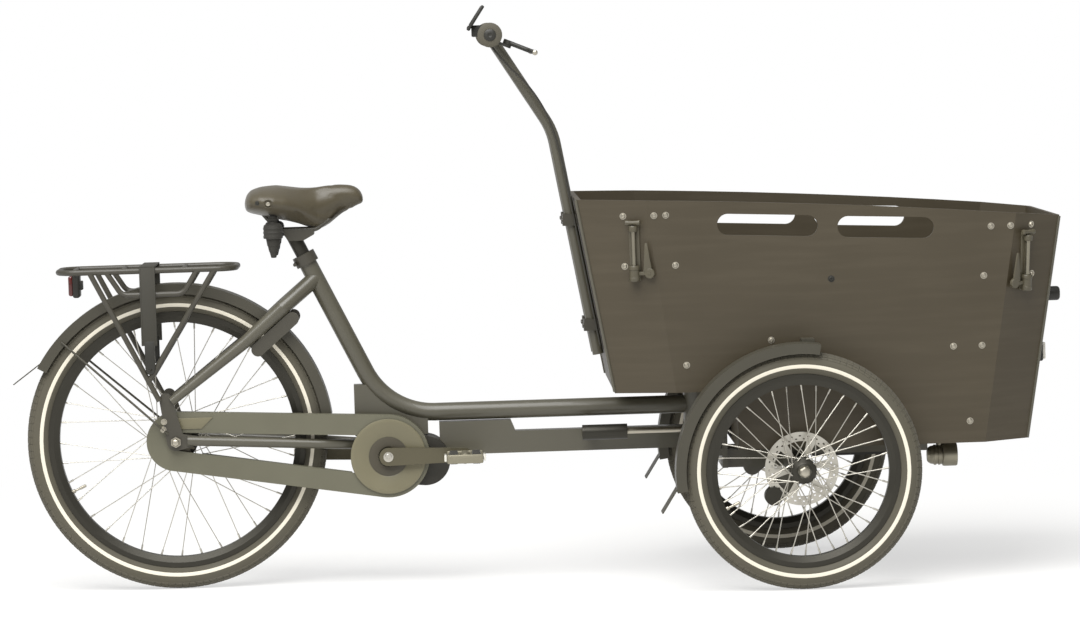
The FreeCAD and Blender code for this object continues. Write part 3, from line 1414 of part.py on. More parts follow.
def hand_slot(rear_x, rear_drop, front_x, front_drop):
    """Hand slot through both side walls."""
    return belt((rear_x, f"{BOX_TOP} - {rear_drop}", "slot_radius"),
                (front_x, f"{BOX_TOP} - {front_drop}", "slot_radius"),
                ("-(box_half + overrun)", "box_half + overrun"))


box_walls = new_body("BoxWalls")
box_loft(box_walls, "0", "PartDesign::AdditiveLoft")
box_loft(box_walls, "box_wall", "PartDesign::SubtractiveLoft")
place(box_walls)
box_room = box_block("(-1 * seat_gap)")
across = ("-(box_half + overrun)", "box_half + overrun")
rim_rear = spot("box_rear_top_x - overrun", across[0], f"{BOX_TOP} - rim_rear_drop")
rim_front = spot("box_front_top_x + overrun", across[0], f"{BOX_TOP} - rim_front_drop")
rim_arc = Part.Arc(rim_rear, spot("rim_mid_x", across[0], f"{BOX_TOP} - rim_mid_drop"), rim_front).toShape()
rim_over = UP * size("rim_front_drop + overrun")
rim_face = Part.Face(Part.Wire([
    rim_arc,
    Part.makeLine(rim_front, rim_front + rim_over),
    Part.makeLine(rim_front + rim_over, rim_rear + rim_over),
    Part.makeLine(rim_rear + rim_over, rim_rear),
]))
above_rim = shaped(rim_face.extrude(SIDEWAYS * size("(box_half + overrun) * 2")))
below_step = block(("box_rear_top_x", "step_x"), across, (f"{BED} - overrun", RAISED_BED))
box_shell = cut(
    box_walls,
    above_rim,
    below_step,
    hand_slot("slot_one_x", "slot_one_drop", "slot_two_x", "slot_two_drop"),
    hand_slot("slot_three_x", "slot_three_drop", "slot_four_x", "slot_four_drop"))
upright = (f"{BED} - overrun", f"{BOX_TOP} + overrun")
rear_panel_room = block(("box_rear_top_x - overrun", "step_x"),
                        ("-(box_half - rear_panel_cut)", "box_half - rear_panel_cut"), upright)
front_panel_room = block(("step_x", "box_front_top_x + overrun"),
                         ("-(box_half - front_panel_cut)", "box_half - front_panel_cut"), upright)
right_room = block(("box_rear_top_x - overrun", "box_front_top_x + overrun"), (across[0], "0"), upright)
node("box_rear_panel", common(box_shell, rear_panel_room))
node("box_front_panel", common(box_shell, front_panel_room))
box_sides = cut(box_shell, rear_panel_room, front_panel_room)
box_side_right = node("box_side_right", common(box_sides, right_room))
node("box_side_left", mirror(box_side_right))
floor_shape = fuse(
    block(("box_rear_top_x", "step_x + floor_thick"), across, (RAISED_BED, f"{RAISED_BED} + floor_thick")),
    block(("step_x", "step_x + floor_thick"), across, (BED, f"{RAISED_BED} + floor_thick")),
    block(("step_x", "box_front_top_x"), across, (BED, f"{BED} + floor_thick")))
node("box_floor", common(box_block("(box_wall + seat_gap)"), floor_shape))


def wall_point(corner, level_share):
    """Point on one upright fold of the right wall, at a share of the box's height."""
    cuts = {"rear": " - box_rear_{0}_cut", "front": " - box_front_{0}_cut"}
    half = "box_half" + cuts.get(corner, "")
    ends = [spot(f"box_{corner}_{level}_x", f"-({half.format(level)})", z)
            for level, z in (("low", BED), ("top", BOX_TOP))]
    return ends[0] + (ends[1] - ends[0]) * level_share


def on_wall(along_share, level_share):
    """Placement on the right wall's outer face: x along the wall, z outward."""
    start, end = size("box_rear_top_x"), size("box_front_top_x")
    x = start + (end - start) * along_share
    folds = [wall_point(corner, level_share) for corner in ("rear", "rear_fold", "front_fold", "front")]
    panel = 0 if x < folds[1].x else 2 if x > folds[2].x else 1
    near, far = folds[panel], folds[panel + 1]
    corner = ("rear", "rear_fold", "front_fold")[panel]
    rise = wall_point(corner, 1) - wall_point(corner, 0)
    along = (far - near).normalize()
    outward = along.cross(rise).normalize()
    point = near + (far - near) * ((x - near.x) / (far.x - near.x)) + outward * size("seat_gap")
    return Placement(point, Rotation(along, outward.cross(along), outward, "ZXY"))


def on_wall_copy(shape, along_share, level_share):
    """A copy of a small piece set on the right wall."""
    copy = shape.copy()
    copy.Placement = on_wall(along_share, level_share)
    return copy


bolt = Part.makeCylinder(size("bolt_radius"), size("bolt_high"))
box_bolts = shaped(Part.makeCompound([on_wall_copy(bolt, *shares) for shares in BOLT_SHARES]))


def tent_clamp(lever_way):
    """Canopy-pole clamp: base plate, rod with a cross knob, socket and a tightening lever."""
    half, high, thick = size("tent_plate_half"), size("tent_plate_high"), size("tent_plate_thick")
    rod_radius, rod_out = size("tent_rod_radius"), size("tent_rod_out")
    knob_half, lever = size("tent_knob_half"), size("tent_lever_length")
    socket_radius, socket_high = size("tent_socket_radius"), size("tent_socket_high")
    base = Part.makeBox(half * 2, high, thick, Vector(-half, 0, 0))
    rod = Part.makeCylinder(rod_radius, high - socket_high / 2, Vector(0, socket_high / 2, rod_out), SIDEWAYS)
    stand = Part.makeBox(rod_radius, high, rod_out, Vector(-rod_radius / 2, 0, 0))
    knob_start = Vector(-knob_half, high, rod_out)
    knob = Part.makeCylinder(size("tent_knob_radius"), knob_half * 2, knob_start, FORWARD)
    socket = Part.makeCylinder(socket_radius, socket_high, Vector(0, 0, rod_out), SIDEWAYS)
    arm_way = FORWARD * lever_way
    middle = Vector(0, socket_high / 2, rod_out)
    arm = Part.makeCylinder(rod_radius, lever, middle + arm_way * socket_radius / 2, arm_way)
    pad_start = middle + arm_way * (lever + socket_radius / 2) - UP * rod_radius / 2
    pad_end = Part.makeCylinder(size("tent_lever_radius"), rod_radius, pad_start)
    return base.multiFuse([rod, stand, knob, socket, arm, pad_end])


node("tent_clamps", both_sides(shaped(Part.makeCompound(
    [on_wall_copy(tent_clamp(way), *shares) for way, shares in zip((1, -1), TENT_SHARES)]))))

# Front mudguards, lamps and battery
front_guard = ("front_wheel_radius", "front_guard_gap", "front_guard_half", "front_axle_x", f"-{TRACK}")
front_guard_right = fuse(
    mudguard(*front_guard, FRONT_GUARD_SHARES),
    guard_flap(*front_guard, FRONT_GUARD_SHARES[1], "front_flap_flare", FRONT_FLAP_SHARES),
    block(("guard_bracket_x - guard_bracket_half", "guard_bracket_x + guard_bracket_half"),
          (f"-({TRACK} - front_guard_half + guard_bracket_lap)", "-box_half"),
          ("front_wheel_radius * 2 + front_guard_gap - guard_bracket_low",
           "front_wheel_radius * 2 + front_guard_gap + guard_bracket_high")))
node("front_mudguards", both_sides(front_guard_right))
REFLECTOR_Z = f"({BED} + reflector_height)"
MARKER_Z = f"({BED} + marker_height)"
marker_x = ("box_front_low_x", "marker_x")
node("front_lamps", group(
    drum("x", "headlamp_radius", ("front_beam_x + seat_gap", "front_beam_x + headlamp_length"),
         "0", "0", "front_wheel_radius - headlamp_drop"),
    cut(fuse(drum("x", "reflector_stem_radius", ("box_front_low_x", "reflector_x"), "0", "0", REFLECTOR_Z),
             drum("x", "reflector_radius", ("reflector_x - reflector_thick", "reflector_x"),
                  "0", "0", REFLECTOR_Z)),
        box_room),
    cut(fuse(drum("x", "marker_radius", marker_x, "0", "0", f"{MARKER_Z} - marker_half"),
             drum("x", "marker_radius", marker_x, "0", "0", f"{MARKER_Z} + marker_half"),
             block(marker_x, ("-marker_radius", "marker_radius"),
                   (f"{MARKER_Z} - marker_half", f"{MARKER_Z} + marker_half"))),
        box_room)))
node("battery", block(("battery_rear_x", "battery_front_x"), ("battery_in", "battery_out"),
                      (f"{BED_SEAT} - battery_high", BED_SEAT)))

# Handlebar: a cross bar on two bent risers that stand behind the box's rear panel
riser_route = [
    ("bar_foot_x", "-riser_half", "bar_foot_z"),
    ("bar_hip_x", "-riser_half", "bar_hip_z"),
    ("bar_top_x", "-riser_half", "bar_top_z"),
]
riser = tube(riser_route, "riser_radius", "bar_bend")
cross_bar = drum("y", "bar_radius", (f"-{BAR_Y}", BAR_Y), "bar_top_x", "0", "bar_top_z")
node("handlebar", fuse(cross_bar, riser, mirror(riser)))
leg_room = tube(riser_route, "riser_radius + seat_gap", "bar_bend")


def bar_clamp(x, z):
    """Clamp block that holds the right riser to the box's rear panel."""
    body = block((f"{x} - bar_clamp_wide", f"{x} + bar_clamp_reach"),
                 ("-(riser_half + bar_clamp_wide)", "-(riser_half - bar_clamp_wide)"),
                 (f"{z} - bar_clamp_half", f"{z} + bar_clamp_half"))
    return cut(body, leg_room, box_room)


bar_clamps = [bar_clamp("bar_clamp_low_x", "bar_clamp_low_z"),
              bar_clamp("bar_clamp_high_x", "bar_clamp_high_z")]
node("box_fasteners", both_sides(group(box_bolts, *bar_clamps)))


def bar_drum(radius, inner, outer):
    """Drum round the cross bar's right half, between two distances from the middle."""
    return drum("y", radius, (f"-({outer})", f"-({inner})"), "bar_top_x", "0", "bar_top_z")


bar_room = drum("y", "bar_radius + run_gap", (f"-{BAR_Y}", BAR_Y), "bar_top_x", "0", "bar_top_z")
node("grips", both_sides(cut(
    fuse(bar_drum("grip_radius", GRIP_IN, GRIP_OUT),
         bar_drum("grip_flange_radius", GRIP_OUT, f"{GRIP_OUT} + grip_flange_thick")),
    bar_room)))
node("twist_shifter", cut(bar_drum("shifter_radius", SHIFTER_IN, f"{GRIP_IN} - seat_gap"), bar_room))

# Brake levers and perches, drawn in a plane that leans forward and down from the bar
LEVER_TURN = Rotation(
    SIDEWAYS, math.degrees(math.atan2(size("lever_drop_length"), size("lever_forward_length"))))


def at_bar(shape):
    """Sub-part drawn round the cross bar's middle, in the levers' plane."""
    item = doc.addObject("Part::Feature", "AtBar")
    item.Shape = shape
    item.Placement = Placement(spot("datum_x + bar_top_x", "0", "bar_top_z"), LEVER_TURN)
    return item


pivot = spot("lever_pivot_out", f"-{PERCH_Y}", "0")
lever_half = size("lever_half")
perch_top = UP * (-lever_half - size("seat_gap"))
perch_low = perch_top - UP * size("perch_plate_thick")
perch_edge = spot("0", f"-({PERCH_IN} + perch_wide)", "0")
perch_wide = size("perch_wide")
perch = Part.makeCylinder(size("perch_radius"), perch_wide, perch_edge, SIDEWAYS)
perch = perch.multiFuse([
    Part.makeBox(pivot.x, perch_wide, size("perch_plate_thick"), perch_edge + perch_low),
    Part.makeCylinder(size("lever_boss_radius"), size("perch_plate_thick"), pivot + perch_low),
    Part.makeCylinder(size("lever_pin_radius"), lever_half - perch_low.z, pivot + perch_low),
])
perch = perch.cut(Part.makeCylinder(
    size("bar_radius + seat_gap"), size(BAR_Y), spot("0", f"-{BAR_Y}", "0"), SIDEWAYS))
node("brake_perches", both_sides(at_bar(perch)))
lever_path = bent_path(
    [pivot,
     spot("lever_elbow_out", f"-({PERCH_Y} + lever_elbow_along)", "0"),
     spot("lever_tip_out", f"-({PERCH_Y} + lever_tip_along)", "0")],
    [size("lever_bend")])
lever_low = UP * -lever_half
lever = swept(lever_path, lever_half)
lever = lever.fuse(Part.makeCylinder(size("lever_boss_radius"), lever_half * 2, pivot + lever_low))
lever = lever.cut(Part.makeCylinder(
    size("lever_pin_radius + run_gap"), (lever_half + size("overrun")) * 2,
    pivot + lever_low - UP * size("overrun")))
lever_right = node("brake_lever_right", at_bar(lever))
node("brake_lever_left", mirror(lever_right))

# Display on a bracket behind the bar
display_run = spot("display_ahead", "0", "display_height")
display_low = spot("display_low_x", "-display_half", "display_low_z")
display_thick = display_run.cross(SIDEWAYS).normalize() * size("display_thick")
display_face = Part.Face(Part.makePolygon([
    display_low,
    display_low + display_run,
    display_low + display_run + display_thick,
    display_low + display_thick,
    display_low,
]))
display_plate = shaped(display_face.extrude(SIDEWAYS * size("display_half * 2")))
display_across = ("-display_clamp_half", "display_clamp_half")
display_arm = block(("display_low_x", "bar_top_x + display_thick"),
                    display_across, ("bar_top_z", "display_low_z + display_arm_rise"))
display_clamp = drum("y", "perch_radius", display_across, "bar_top_x", "0", "bar_top_z")
node("display", cut(fuse(display_plate, display_arm, display_clamp), bar_room))

# Brake cables: from each perch down beside the riser, straight runs joined by tangent arcs
cable_route = [
    spot("cable_one_x", f"-{PERCH_Y}", "cable_one_z"),
    spot("cable_two_x", f"-({PERCH_Y} + cable_two_along)", "cable_two_z"),
    spot("cable_three_x", "-(riser_half + cable_three_out)", "cable_three_z"),
    spot("cable_four_x", "-(riser_half + cable_four_out)", "cable_four_z"),
    spot("cable_five_x", "-(riser_half + cable_beside)", "cable_five_z"),
    spot("cable_six_x", "-(riser_half + cable_beside)", "cable_six_z"),
    spot("cable_seven_x", "-(riser_half + cable_beside)", "cable_seven_z"),
]
cable_bends = [size("cable_bend_radius")] * (len(cable_route) - 2)
cable = shaped(swept(bent_path(cable_route, cable_bends), size("cable_radius")))
node("brake_cables", both_sides(cable))

doc.recompute()
failed = [item.Name for item in doc.Objects if {"Invalid", "Error"} & set(item.State)]
failed += [label for label, item in nodes.items() if item.Shape.isNull() or not item.Shape.isValid()]
if failed:
    raise RuntimeError(f"failed pieces: {failed}")
os.makedirs("parts", exist_ok=True)
for label, item in nodes.items():
    item.Shape.exportStep(f"parts/{label}.step")
print(len(nodes), "sub-parts written")
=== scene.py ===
"""Looks of a front-loading cargo tricycle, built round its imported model."""

import json
import logging
import math
from dataclasses import dataclass
from enum import Enum
from typing import Callable, Iterable, Optional, Sequence

import bpy
from mathutils import Matrix, Vector

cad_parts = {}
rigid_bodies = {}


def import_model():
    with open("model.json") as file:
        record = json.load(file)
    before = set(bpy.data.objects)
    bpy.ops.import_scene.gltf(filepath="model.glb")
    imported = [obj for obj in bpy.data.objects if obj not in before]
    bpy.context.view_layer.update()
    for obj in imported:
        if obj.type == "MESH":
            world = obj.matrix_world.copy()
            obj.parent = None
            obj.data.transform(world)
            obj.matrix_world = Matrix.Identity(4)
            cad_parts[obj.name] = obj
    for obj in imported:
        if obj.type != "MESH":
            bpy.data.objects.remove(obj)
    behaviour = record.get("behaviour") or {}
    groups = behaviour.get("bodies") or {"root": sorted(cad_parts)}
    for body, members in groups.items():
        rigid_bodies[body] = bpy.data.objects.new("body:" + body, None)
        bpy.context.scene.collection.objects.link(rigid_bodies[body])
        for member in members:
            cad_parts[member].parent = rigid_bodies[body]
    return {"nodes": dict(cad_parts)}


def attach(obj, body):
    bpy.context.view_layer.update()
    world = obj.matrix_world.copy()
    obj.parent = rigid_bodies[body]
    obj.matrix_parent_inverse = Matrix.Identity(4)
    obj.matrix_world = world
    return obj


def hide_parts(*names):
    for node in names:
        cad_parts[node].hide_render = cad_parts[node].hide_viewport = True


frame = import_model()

LOG = logging.getLogger("tricycle")
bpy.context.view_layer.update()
Point = tuple[float, float, float]
Profile = Sequence[tuple[float, float]]
Piece = bpy.types.Object
Tree = bpy.types.NodeTree
Socket = bpy.types.NodeSocket
MM = 0.001
MIRROR = Matrix.Scale(-1, 4, (0, 1, 0))
# The model's x of the rear axle, which the sizes below are counted from
AXLE_X = -0.8119
# Places that several pieces share, in millimetres ahead of the rear axle and over the ground
REAR_RADIUS_MM = 335
FRONT_RADIUS_MM = 258
WHEELBASE_MM = 1368
HALF_TRACK_MM = 375
CRANK_AXIS: Point = (470, 0, 287)
HANDLEBAR: Point = (722, 0, 1216)


class Body(Enum):
    """Rigid bodies that pieces ride on."""

    REAR = "rear_frame"
    REAR_WHEEL = "rear_wheel"
    CRANK = "crank"
    RIGHT_PEDAL = "right_pedal"
    LEFT_PEDAL = "left_pedal"
    SEAT = "seat"
    CARRIAGE = "carriage"
    RIGHT_WHEEL = "right_front_wheel"
    LEFT_WHEEL = "left_front_wheel"
    SHIFTER = "shifter"
    RIGHT_LEVER = "right_lever"
    LEFT_LEVER = "left_lever"


# Side, body and direction along Y of each front wheel
FRONT_WHEELS = (("right", Body.RIGHT_WHEEL, -1), ("left", Body.LEFT_WHEEL, 1))


class Axis(Enum):
    """Direction that a turned piece's axis takes, as a rotation of the upright one."""

    X = (0.0, math.pi / 2, 0.0)
    Y = (math.pi / 2, 0.0, 0.0)
    Z = (0.0, 0.0, 0.0)


def at(x: float, y: float, z: float) -> Vector:
    """Model point in metres from millimetres behind or ahead of the rear axle."""
    return Vector((AXLE_X + x * MM, y * MM, z * MM))


def local(x: float, y: float, z: float) -> Vector:
    """Point in a piece's own axes, in metres from millimetres."""
    return Vector((x, y, z)) * MM


def linear(hex_code: str) -> tuple[float, float, float, float]:
    """Turn an sRGB hex colour into linear light.

    Args:
        hex_code: colour such as "#5c5442".

    Returns:
        Linear red, green, blue and an alpha of 1.
    """
    parts = [int(hex_code[i:i + 2], 16) / 255 for i in (1, 3, 5)]
    light = [c / 12.92 if c <= 0.04045 else ((c + 0.055) / 1.055) ** 2.4 for c in parts]
    return (light[0], light[1], light[2], 1.0)


def scale_for(size_mm: float) -> float:
    """Texture scale at which one feature is this many millimetres across."""
    return 1000.0 / size_mm


def add_node(tree: Tree, kind: str, inputs: Optional[dict] = None, **settings) -> bpy.types.Node:
    """Add a shader node with its settings, values and links.

    Args:
        tree: node tree that takes the node.
        kind: Blender's type name of the node.
        inputs: value or linked socket of each input, by name or index.
        settings: attributes of the node.

    Returns:
        The new node.
    """
    node = tree.nodes.new(kind)
    for name, value in settings.items():
        setattr(node, name, value)
    for name, value in (inputs or {}).items():
        if isinstance(value, Socket):
            tree.links.new(value, node.inputs[name])
        else:
            node.inputs[name].default_value = value
    return node


@dataclass(frozen=True)
class Finish:
    """A surface finish: a base colour with broad unevenness and a fine relief.

    Fields give the colour as sRGB hex, the size of the uneven patches and of the relief in
    millimetres, how far the colour and the roughness stray, and how deep the relief is.
    """

    name: str
    colour: str
    metallic: float = 0.0
    roughness: float = 0.5
    ior: float = 1.5
    patch_mm: float = 90.0
    patch_share: float = 0.12
    rough_share: float = 0.15
    grain_mm: float = 1.2
    grain_depth_mm: float = 0.05
    grain_stretch: Point = (1.0, 1.0, 1.0)
    cells: bool = False
    coat: float = 0.0
    sheen: float = 0.0
    specular: float = 0.5

    def material(self) -> bpy.types.Material:
        """Build the finish's material once.

        Returns:
            The material of this finish.
        """
        known = bpy.data.materials.get(self.name)
        if known:
            return known
        made = bpy.data.materials.new(self.name)
        made.use_nodes = True
        self.paint(made.node_tree)
        return made

    def paint(self, tree: Tree) -> None:
        """Fill a material's node tree.

        Args:
            tree: node tree of the material.
        """
        shader = tree.nodes["Principled BSDF"]
        place = add_node(tree, "ShaderNodeTexCoord").outputs["Object"]
        broad = add_node(tree, "ShaderNodeTexNoise",
                         {"Vector": place, "Scale": scale_for(self.patch_mm), "Detail": 4.0}).outputs["Fac"]
        colour = self.colour_of(tree, place, broad)
        tree.links.new(colour, shader.inputs["Base Color"])
        rough = add_node(tree, "ShaderNodeMapRange", {
            "Value": broad, "From Min": 0.3, "From Max": 0.7,
            "To Min": self.roughness * (1 - self.rough_share),
            "To Max": min(1.0, self.roughness * (1 + self.rough_share))})
        tree.links.new(rough.outputs["Result"], shader.inputs["Roughness"])
        bump = add_node(tree, "ShaderNodeBump", {
            "Height": self.relief(tree, place), "Strength": 1.0, "Distance": self.grain_depth_mm * MM})
        tree.links.new(bump.outputs["Normal"], shader.inputs["Normal"])
        shader.inputs["Metallic"].default_value = self.metallic
        shader.inputs["IOR"].default_value = self.ior
        shader.inputs["Coat Weight"].default_value = self.coat
        shader.inputs["Sheen Weight"].default_value = self.sheen
        shader.inputs["Specular IOR Level"].default_value = self.specular

    def colour_of(self, tree: Tree, place: Socket, broad: Socket) -> Socket:
        """Colour that strays a little from the base colour.

        Args:
            tree: node tree of the material.
            place: object coordinates.
            broad: broad noise from 0 to 1.

        Returns:
            Socket that carries the colour.
        """
        base = linear(self.colour)
        return add_node(tree, "ShaderNodeMix", {
            0: broad, 6: self.shade(base, 1 - self.patch_share), 7: self.shade(base, 1 + self.patch_share)},
            data_type="RGBA").outputs[2]

    def relief(self, tree: Tree, place: Socket) -> Socket:
        """Height of the fine relief.

        Args:
            tree: node tree of the material.
            place: object coordinates.

        Returns:
            Socket that carries the height.
        """
        spread = add_node(tree, "ShaderNodeMapping", {
            "Vector": place, "Scale": self.grain_stretch}).outputs["Vector"]
        if self.cells:
            return add_node(tree, "ShaderNodeTexVoronoi", {
                "Vector": spread, "Scale": scale_for(self.grain_mm)}).outputs["Distance"]
        return add_node(tree, "ShaderNodeTexNoise", {
            "Vector": spread, "Scale": scale_for(self.grain_mm), "Detail": 3.0}).outputs["Fac"]

    @staticmethod
    def shade(colour: Sequence[float], share: float) -> tuple[float, float, float, float]:
        """A lighter or darker shade of a linear colour."""
        return (min(1.0, colour[0] * share), min(1.0, colour[1] * share), min(1.0, colour[2] * share), 1.0)


@dataclass(frozen=True)
class BandedFinish(Finish):
    """A finish with a ring of another colour round a wheel's axle."""

    band_colour: str = "#d8d2c2"
    axle: Point = (0.0, 0.0, 0.0)
    band_radius: float = 0.302
    band_half: float = 0.004

    def colour_of(self, tree: Tree, place: Socket, broad: Socket) -> Socket:
        """Base colour with the ring laid over it.

        Args:
            tree: node tree of the material.
            place: object coordinates.
            broad: broad noise from 0 to 1.

        Returns:
            Socket that carries the colour.
        """
        base = super().colour_of(tree, place, broad)
        away = add_node(tree, "ShaderNodeVectorMath", {0: place, 1: self.axle},
                        operation="SUBTRACT").outputs[0]
        flat = add_node(tree, "ShaderNodeVectorMath", {0: away, 1: (1, 0, 1)},
                        operation="MULTIPLY").outputs[0]
        reach = add_node(tree, "ShaderNodeVectorMath", {0: flat}, operation="LENGTH").outputs["Value"]
        ring = add_node(tree, "ShaderNodeMath", {0: reach, 1: self.band_radius, 2: self.band_half},
                        operation="COMPARE").outputs[0]
        return add_node(tree, "ShaderNodeMix", {0: ring, 6: base, 7: linear(self.band_colour)},
                        data_type="RGBA").outputs[2]


@dataclass(frozen=True)
class FilmFinish(Finish):
    """Plywood faced with a resin film that lets the veneer's streaks show through."""

    streak_colour: str = "#524a3a"
    streak_mm: float = 14.0
    streak_stretch: Point = (0.08, 0.08, 1.0)
    streak_share: float = 0.22

    def colour_of(self, tree: Tree, place: Socket, broad: Socket) -> Socket:
        """Film colour with the veneer's long streaks showing faintly through.

        Args:
            tree: node tree of the material.
            place: object coordinates.
            broad: broad noise from 0 to 1.

        Returns:
            Socket that carries the colour.
        """
        base = super().colour_of(tree, place, broad)
        drawn = add_node(tree, "ShaderNodeMapping", {
            "Vector": place, "Scale": self.streak_stretch}).outputs["Vector"]
        streak = add_node(tree, "ShaderNodeTexNoise", {
            "Vector": drawn, "Scale": scale_for(self.streak_mm), "Detail": 5.0}).outputs["Fac"]
        share = add_node(tree, "ShaderNodeMapRange", {
            "Value": streak, "From Min": 0.45, "From Max": 0.75,
            "To Min": 0.0, "To Max": self.streak_share}).outputs["Result"]
        return add_node(tree, "ShaderNodeMix", {0: share, 6: base, 7: linear(self.streak_colour)},
                        data_type="RGBA").outputs[2]


# Powder coat on aluminium: satin, with the faint orange peel of melted powder
POWDER_COAT = Finish("powder_coated_aluminium", "#4d4a3e", roughness=0.4, grain_mm=1.6, grain_depth_mm=0.04,
                     patch_mm=160, coat=0.2)
# The same coat on steel fittings, darker and a little duller
POWDER_BLACK = Finish("powder_coated_steel", "#3d3a31", roughness=0.42, grain_mm=1.6, grain_depth_mm=0.04)
# Moulded polypropylene: matt, finely spark-eroded skin, in a grey, a pale, a dark and a black shade
CASE_PLASTIC = Finish("moulded_polypropylene_grey", "#5d5b4b", roughness=0.48, grain_mm=0.9,
                      grain_depth_mm=0.05)
CASE_DISC = Finish("moulded_polypropylene_pale", "#6a654f", roughness=0.42, grain_mm=0.9, grain_depth_mm=0.04)
CASE_RING = Finish("moulded_polypropylene_dark", "#403b2e", roughness=0.45, grain_mm=0.9, grain_depth_mm=0.05)
GUARD_PLASTIC = Finish("moulded_polypropylene_black", "#3d3a2f", roughness=0.45, grain_mm=1.0,
                       grain_depth_mm=0.04)
# Moulded nylon: harder and a little waxy, with the mould's fine grain
CLAMP_NYLON = Finish("moulded_nylon_olive", "#4d4839", roughness=0.42, grain_mm=0.8, grain_depth_mm=0.05)
BLACK_PLASTIC = Finish("moulded_nylon_black", "#25241e", roughness=0.5, grain_mm=0.8, grain_depth_mm=0.05)
# Vulcanised rubber: dull, with a dusty bloom
GRIP_RUBBER = Finish("moulded_rubber", "#2a2822", roughness=0.75, grain_mm=1.0, grain_depth_mm=0.08,
                     sheen=0.1)
SLEEVE_RUBBER = Finish("soft_grip_rubber", "#4a463a", roughness=0.7, grain_mm=1.0, grain_depth_mm=0.08,
                       sheen=0.1)
STRAP_RUBBER = Finish("pressed_rubber_strap", "#34322a", roughness=0.7, grain_mm=1.4, grain_depth_mm=0.06)
# Drawn stainless steel: bright, with fine lines along the draw
STEEL = Finish("drawn_stainless_steel", "#c9c5ba", metallic=1.0, roughness=0.3, grain_mm=0.6,
               grain_depth_mm=0.01, grain_stretch=(1, 1, 0.2))
# Zinc plating: pale and slightly clouded
ZINC = Finish("zinc_plated_steel", "#b9b3a4", metallic=1.0, roughness=0.38, grain_mm=2.0, grain_depth_mm=0.02,
              patch_mm=12)
# Black anodised aluminium: a dark metal with a soft gleam
BLACK_ALLOY = Finish("anodised_aluminium_black", "#38362f", metallic=0.6, roughness=0.4, grain_mm=0.7,
                     grain_depth_mm=0.01)
# Forged aluminium under thin paint: smooth, with little metal left in its shine
FORGED_ALLOY = Finish("forged_aluminium_painted", "#56513f", metallic=0.3, roughness=0.4, grain_mm=1.2,
                      grain_depth_mm=0.03)
# Brushed aluminium: a grey gleam drawn out along the brushing
BRUSHED_ALLOY = Finish("brushed_aluminium", "#8f8a7a", metallic=0.9, roughness=0.34, grain_mm=0.6,
                       grain_depth_mm=0.01, grain_stretch=(1, 1, 0.2))
# Cast aluminium: greyer and duller than the brushed one
PEDAL_ALLOY = Finish("cast_aluminium", "#8a8573", metallic=0.6, roughness=0.42, grain_mm=1.0,
                     grain_depth_mm=0.03)
# Chain steel under oil: dark, with broken highlights
CHAIN_STEEL = Finish("oiled_chain_steel", "#5b574c", metallic=1.0, roughness=0.4, grain_mm=3.0,
                     grain_depth_mm=0.05)
# Painted die-cast magnesium: near black, with a pebbled skin
CAST_ALLOY = Finish("die_cast_magnesium", "#33312a", metallic=0.2, roughness=0.5, grain_mm=1.1,
                    grain_depth_mm=0.08)
# Film-faced birch plywood, brown, with a smooth resin skin
PLYWOOD = FilmFinish("film_faced_plywood", "#3d3524", roughness=0.52, grain_mm=3.0, grain_depth_mm=0.03,
                     patch_mm=220, patch_share=0.1, coat=0.05)
# The same plywood with the pressed cells of a floor's film
PLY_FLOOR = FilmFinish("film_faced_plywood_floor", "#4a4334", roughness=0.55, grain_mm=5.0,
                       grain_depth_mm=0.25, cells=True)
# Vinyl embossed to look like leather: pebbled cells and a soft shine
SADDLE_VINYL = Finish("embossed_vinyl", "#423b29", roughness=0.4, grain_mm=2.2, grain_depth_mm=0.12,
                      cells=True, patch_mm=70, patch_share=0.15, sheen=0.15)
# Moulded acrylic lenses: glossy, with the small facets that spread the light
RED_LENS = Finish("moulded_acrylic_red", "#4f1712", roughness=0.12, ior=1.49, grain_mm=4.0,
                  grain_depth_mm=0.2, cells=True, coat=0.6)
CLEAR_LENS = Finish("moulded_acrylic_clear", "#d9d6cc", roughness=0.1, ior=1.49, grain_mm=4.0,
                    grain_depth_mm=0.2, cells=True, coat=0.6)
# Drawn polyethylene over a steel coil: smooth and slightly waxy
CABLE_SHEATH = Finish("polyethylene_sheath", "#302e27", roughness=0.4, grain_mm=2.0, grain_depth_mm=0.02)
# Display glass: black and nearly mirror smooth
SCREEN_GLASS = Finish("display_glass", "#14140f", roughness=0.08, ior=1.52, grain_depth_mm=0.002, coat=0.4)


def tyre_finish(name: str, axle: Vector, band_radius: float) -> BandedFinish:
    """Tyre rubber with a pale reflective ring on its wall.

    Args:
        name: name of the finish.
        axle: centre of the wheel.
        band_radius: radius of the ring in metres.

    Returns:
        The finish for this wheel.
    """
    return BandedFinish(name, "#4d493c", roughness=0.72, grain_mm=1.5, grain_depth_mm=0.08, sheen=0.08,
                        axle=tuple(axle), band_radius=band_radius)


REAR_TYRE = tyre_finish("tyre_rubber_rear", at(0, 0, REAR_RADIUS_MM), 0.302)
FRONT_TYRE = tyre_finish("tyre_rubber_front", at(WHEELBASE_MM, 0, FRONT_RADIUS_MM), 0.227)


def clear_selection() -> None:
    """Leave edit mode and deselect every object."""
    if bpy.context.mode != "OBJECT":
        bpy.ops.object.mode_set(mode="OBJECT")
    bpy.ops.object.select_all(action="DESELECT")


def activate(piece: Piece) -> None:
    """Leave edit mode and select one piece alone."""
    clear_selection()
    piece.select_set(True)
    bpy.context.view_layer.objects.active = piece


def apply_place() -> None:
    """Put the selected piece's place, turn and scale into its mesh."""
    bpy.ops.object.transform_apply(location=True, rotation=True, scale=True)


